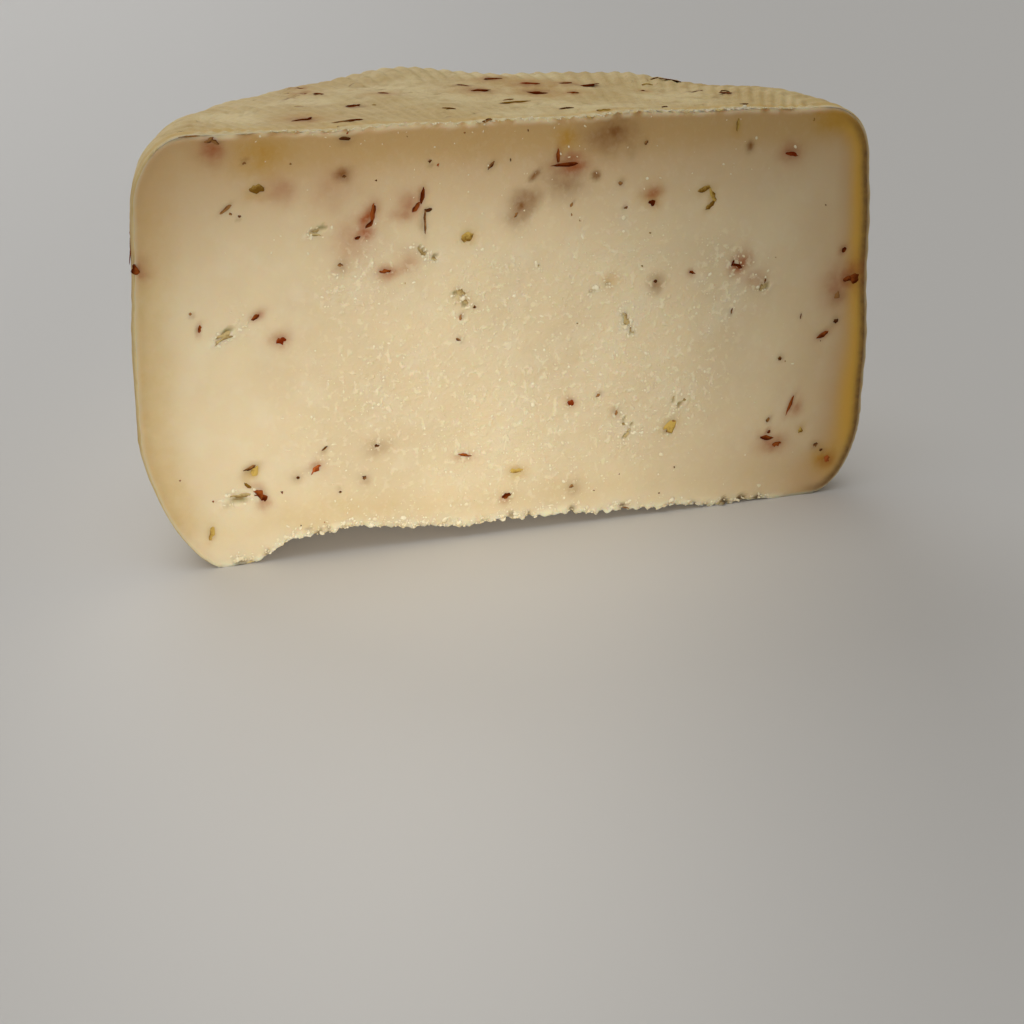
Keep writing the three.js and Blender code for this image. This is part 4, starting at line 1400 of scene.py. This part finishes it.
@dataclass
class Crumbs:
    """Pale crumbs: crystals on the cut, bits round its tears, and torn bits along its two edges.

    The logarithms of the lengths have a mean and a spread each. A lower crumb strays up from the edge.
    """

    cheese: Cheese
    body: SurfaceMesh
    crystals: int = 1700
    below: int = 420
    above: int = 120
    across: Span = (0.03, 0.97)
    along: Span = (0.2, 2.9)
    crystal_length: Span = (-0.85, 0.4)
    tear_length: Span = (-0.3, 0.3)
    edge_length: Span = (-0.4, 0.35)
    above_part: float = 0.6
    length_limits: Span = (0.12, 1.6)
    slimness: Span = (0.4, 0.9)
    tear_rim: Span = (1.25, 0.16)
    straying: float = 1.1
    lowest: float = 0.9
    lump: Chips = Chips(corners=7, rings=(0.0, 0.7, 1.0), ragged=0.2, taper=0.1, curl=0.15, proud=0.03)

    def round_tears(self, random: np.random.Generator) -> Array:
        """Places round the outlines of the tears."""
        rims = []
        for mark, centre in self.cheese.marks_on_cut((Kind.OLIVE,)):
            count = 4 + int(3 * mark.length)
            angle, turn = random.uniform(0, 2 * math.pi, count), math.radians(mark.turn)
            out = random.normal(*self.tear_rim, count)
            long = out * (mark.length / 2 + 0.3) * np.cos(angle)
            wide = out * (mark.width / 2 + 0.4) * np.sin(angle)
            across = long * math.cos(turn) - wide * math.sin(turn)
            up = long * math.sin(turn) + wide * math.cos(turn)
            rims.append(centre + np.stack([across, 0 * long, up], -1))
        return np.concatenate(rims)

    def places(self) -> tuple[Array, Array]:
        """Where the crumbs are, and how long."""
        random, wheel = stream(90), self.cheese.wheel
        tries = self.crystals * 6
        t, along = random.uniform(*self.across, tries), random.uniform(*self.along, tries)
        spots = wheel.settle(wheel.on_cut(t, along))
        chance = self.cheese.crumbliness(spots[:, 0], spots[:, 2]) ** 1.3
        spots = spots[random.uniform(0, 1, tries) < chance][: self.crystals]
        lengths = random.lognormal(*self.crystal_length, len(spots))
        rims = self.round_tears(random)
        rim_lengths = random.lognormal(*self.tear_length, len(rims))
        low_t = 0.02 + 0.9 * random.beta(1.0, 1.6, self.below)
        low = wheel.settle(wheel.on_cut(low_t, np.zeros(self.below)))
        strayed = np.abs(random.normal(0, self.straying, self.below))
        low[:, 2] = np.maximum(low[:, 2] + strayed - 0.1, self.lowest)
        high_t = random.uniform(0.1, 0.95, self.above)
        high = wheel.settle(wheel.on_cut(high_t, np.full(self.above, 3.0)))
        edge_lengths = random.lognormal(*self.edge_length, self.below + self.above)
        edge_lengths[self.below:] *= self.above_part
        lengths = np.concatenate([lengths, rim_lengths, edge_lengths])
        return np.concatenate([spots, rims, low, high]), np.clip(lengths, *self.length_limits)

    def build(self) -> None:
        """Makes the crumbs as small uneven lumps, half sunk into the cheese."""
        places, lengths = self.places()
        random, count = stream(91), len(places)
        sizes = np.stack([lengths, lengths * random.uniform(*self.slimness, count)], -1)
        turns = random.uniform(0, math.pi, count)
        tints = random.uniform(0, 1, count)
        made = self.lump.lay(self.body, (places, sizes, turns), tints, stream(92))
        made.build("crumbs", [CRUMB_FINISH.build()])


@dataclass(frozen=True)
class Lamp:
    """What all lamps have: a place and an aim in millimetres, softness, power and colour."""

    name: str
    place: tuple[float, float, float]
    aim: tuple[float, float, float]
    softness: float
    power: float
    tint: Colour = (1.0, 1.0, 1.0)

    def put(self, data: bpy.types.Light) -> None:
        """Puts the light in its place, with its power and its colour."""
        data.energy = self.power
        data.color = self.tint
        light = bpy.data.objects.new(self.name, data)
        light.location = Vector(self.place) * MM
        towards = Vector(self.aim) - Vector(self.place)
        light.rotation_euler = towards.to_track_quat("-Z", "Y").to_euler()
        bpy.context.scene.collection.objects.link(light)


@dataclass(frozen=True)
class Sun(Lamp):
    """Even light from one direction. Its softness is the angle in degrees that its source fills."""

    def build(self) -> None:
        """Makes the light."""
        data = bpy.data.lights.new(self.name, "SUN")
        data.angle = math.radians(self.softness)
        self.put(data)


@dataclass(frozen=True)
class Spot(Lamp):
    """A round light whose pool fades out over its cone. Its softness is its own width."""

    cone: float = 30.0

    def build(self) -> None:
        """Makes the light."""
        data = bpy.data.lights.new(self.name, "SPOT")
        data.spot_size, data.spot_blend = math.radians(self.cone), 1.0
        data.shadow_soft_size = self.softness / 2 * MM
        self.put(data)


@dataclass(frozen=True)
class Studio:
    """A pale floor, soft lamps and a dim pale surrounding."""

    floor_side: float = 40000.0
    floor_tint: Colour = colour(206, 204, 200)
    sky: Colour = (1.0, 0.98, 0.95)
    sky_strength: float = 0.24
    floor_rough: float = 0.6
    lamps: tuple[Spot | Sun, ...] = (
        Spot("key", (-170, -560, 190), (-22, -38, 8), 70, 8.6, (1.0, 0.96, 0.9), 18.0),
        Sun("above", (-120, -60, 760), (0, 0, 0), 50, 0.74),
        Sun("front", (-300, -620, 420), (0, 0, 40), 40, 0.08),
        Sun("behind", (-120, 700, 420), (0, 0, 40), 50, 0.8),
    )

    def build(self) -> None:
        """Makes the floor, the lamps and the world, and picks the plain view of colours."""
        half = self.floor_side / 2
        mesh = bpy.data.meshes.new("floor")
        corners = [(-half, -half, 0), (half, -half, 0), (half, half, 0), (-half, half, 0)]
        mesh.from_pydata([Vector(corner) * MM for corner in corners], [], [(0, 1, 2, 3)])
        floor = bpy.data.objects.new("floor", mesh)
        dull = {"Base Color": self.floor_tint, "Roughness": self.floor_rough}
        mesh.materials.append(Paint("floor").finish(dull))
        bpy.context.scene.collection.objects.link(floor)
        for lamp in self.lamps:
            lamp.build()
        world = bpy.data.worlds.new("surrounding")
        world.use_nodes = True
        background = world.node_tree.nodes["Background"]
        background.inputs["Color"].default_value = (*self.sky, 1.0)
        background.inputs["Strength"].default_value = self.sky_strength
        bpy.context.scene.world = world
        bpy.context.scene.view_settings.view_transform = "Standard"


def main() -> None:
    """Builds the camera, the cheese with its flakes and crumbs, and the studio."""
    logging.basicConfig(level=logging.INFO, format="%(name)s %(message)s")
    camera = PhotoCamera()
    camera.build()
    cheese = Cheese(Wheel(), camera)
    body = cheese.surface()
    piece = body.build("cheese_body", [PasteFinish().build(), RindFinish().build()])
    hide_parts(NODE)
    Flakes(cheese, body).build()
    Crumbs(cheese, body).build()
    Studio().build()


if __name__ == "__main__":
    main()
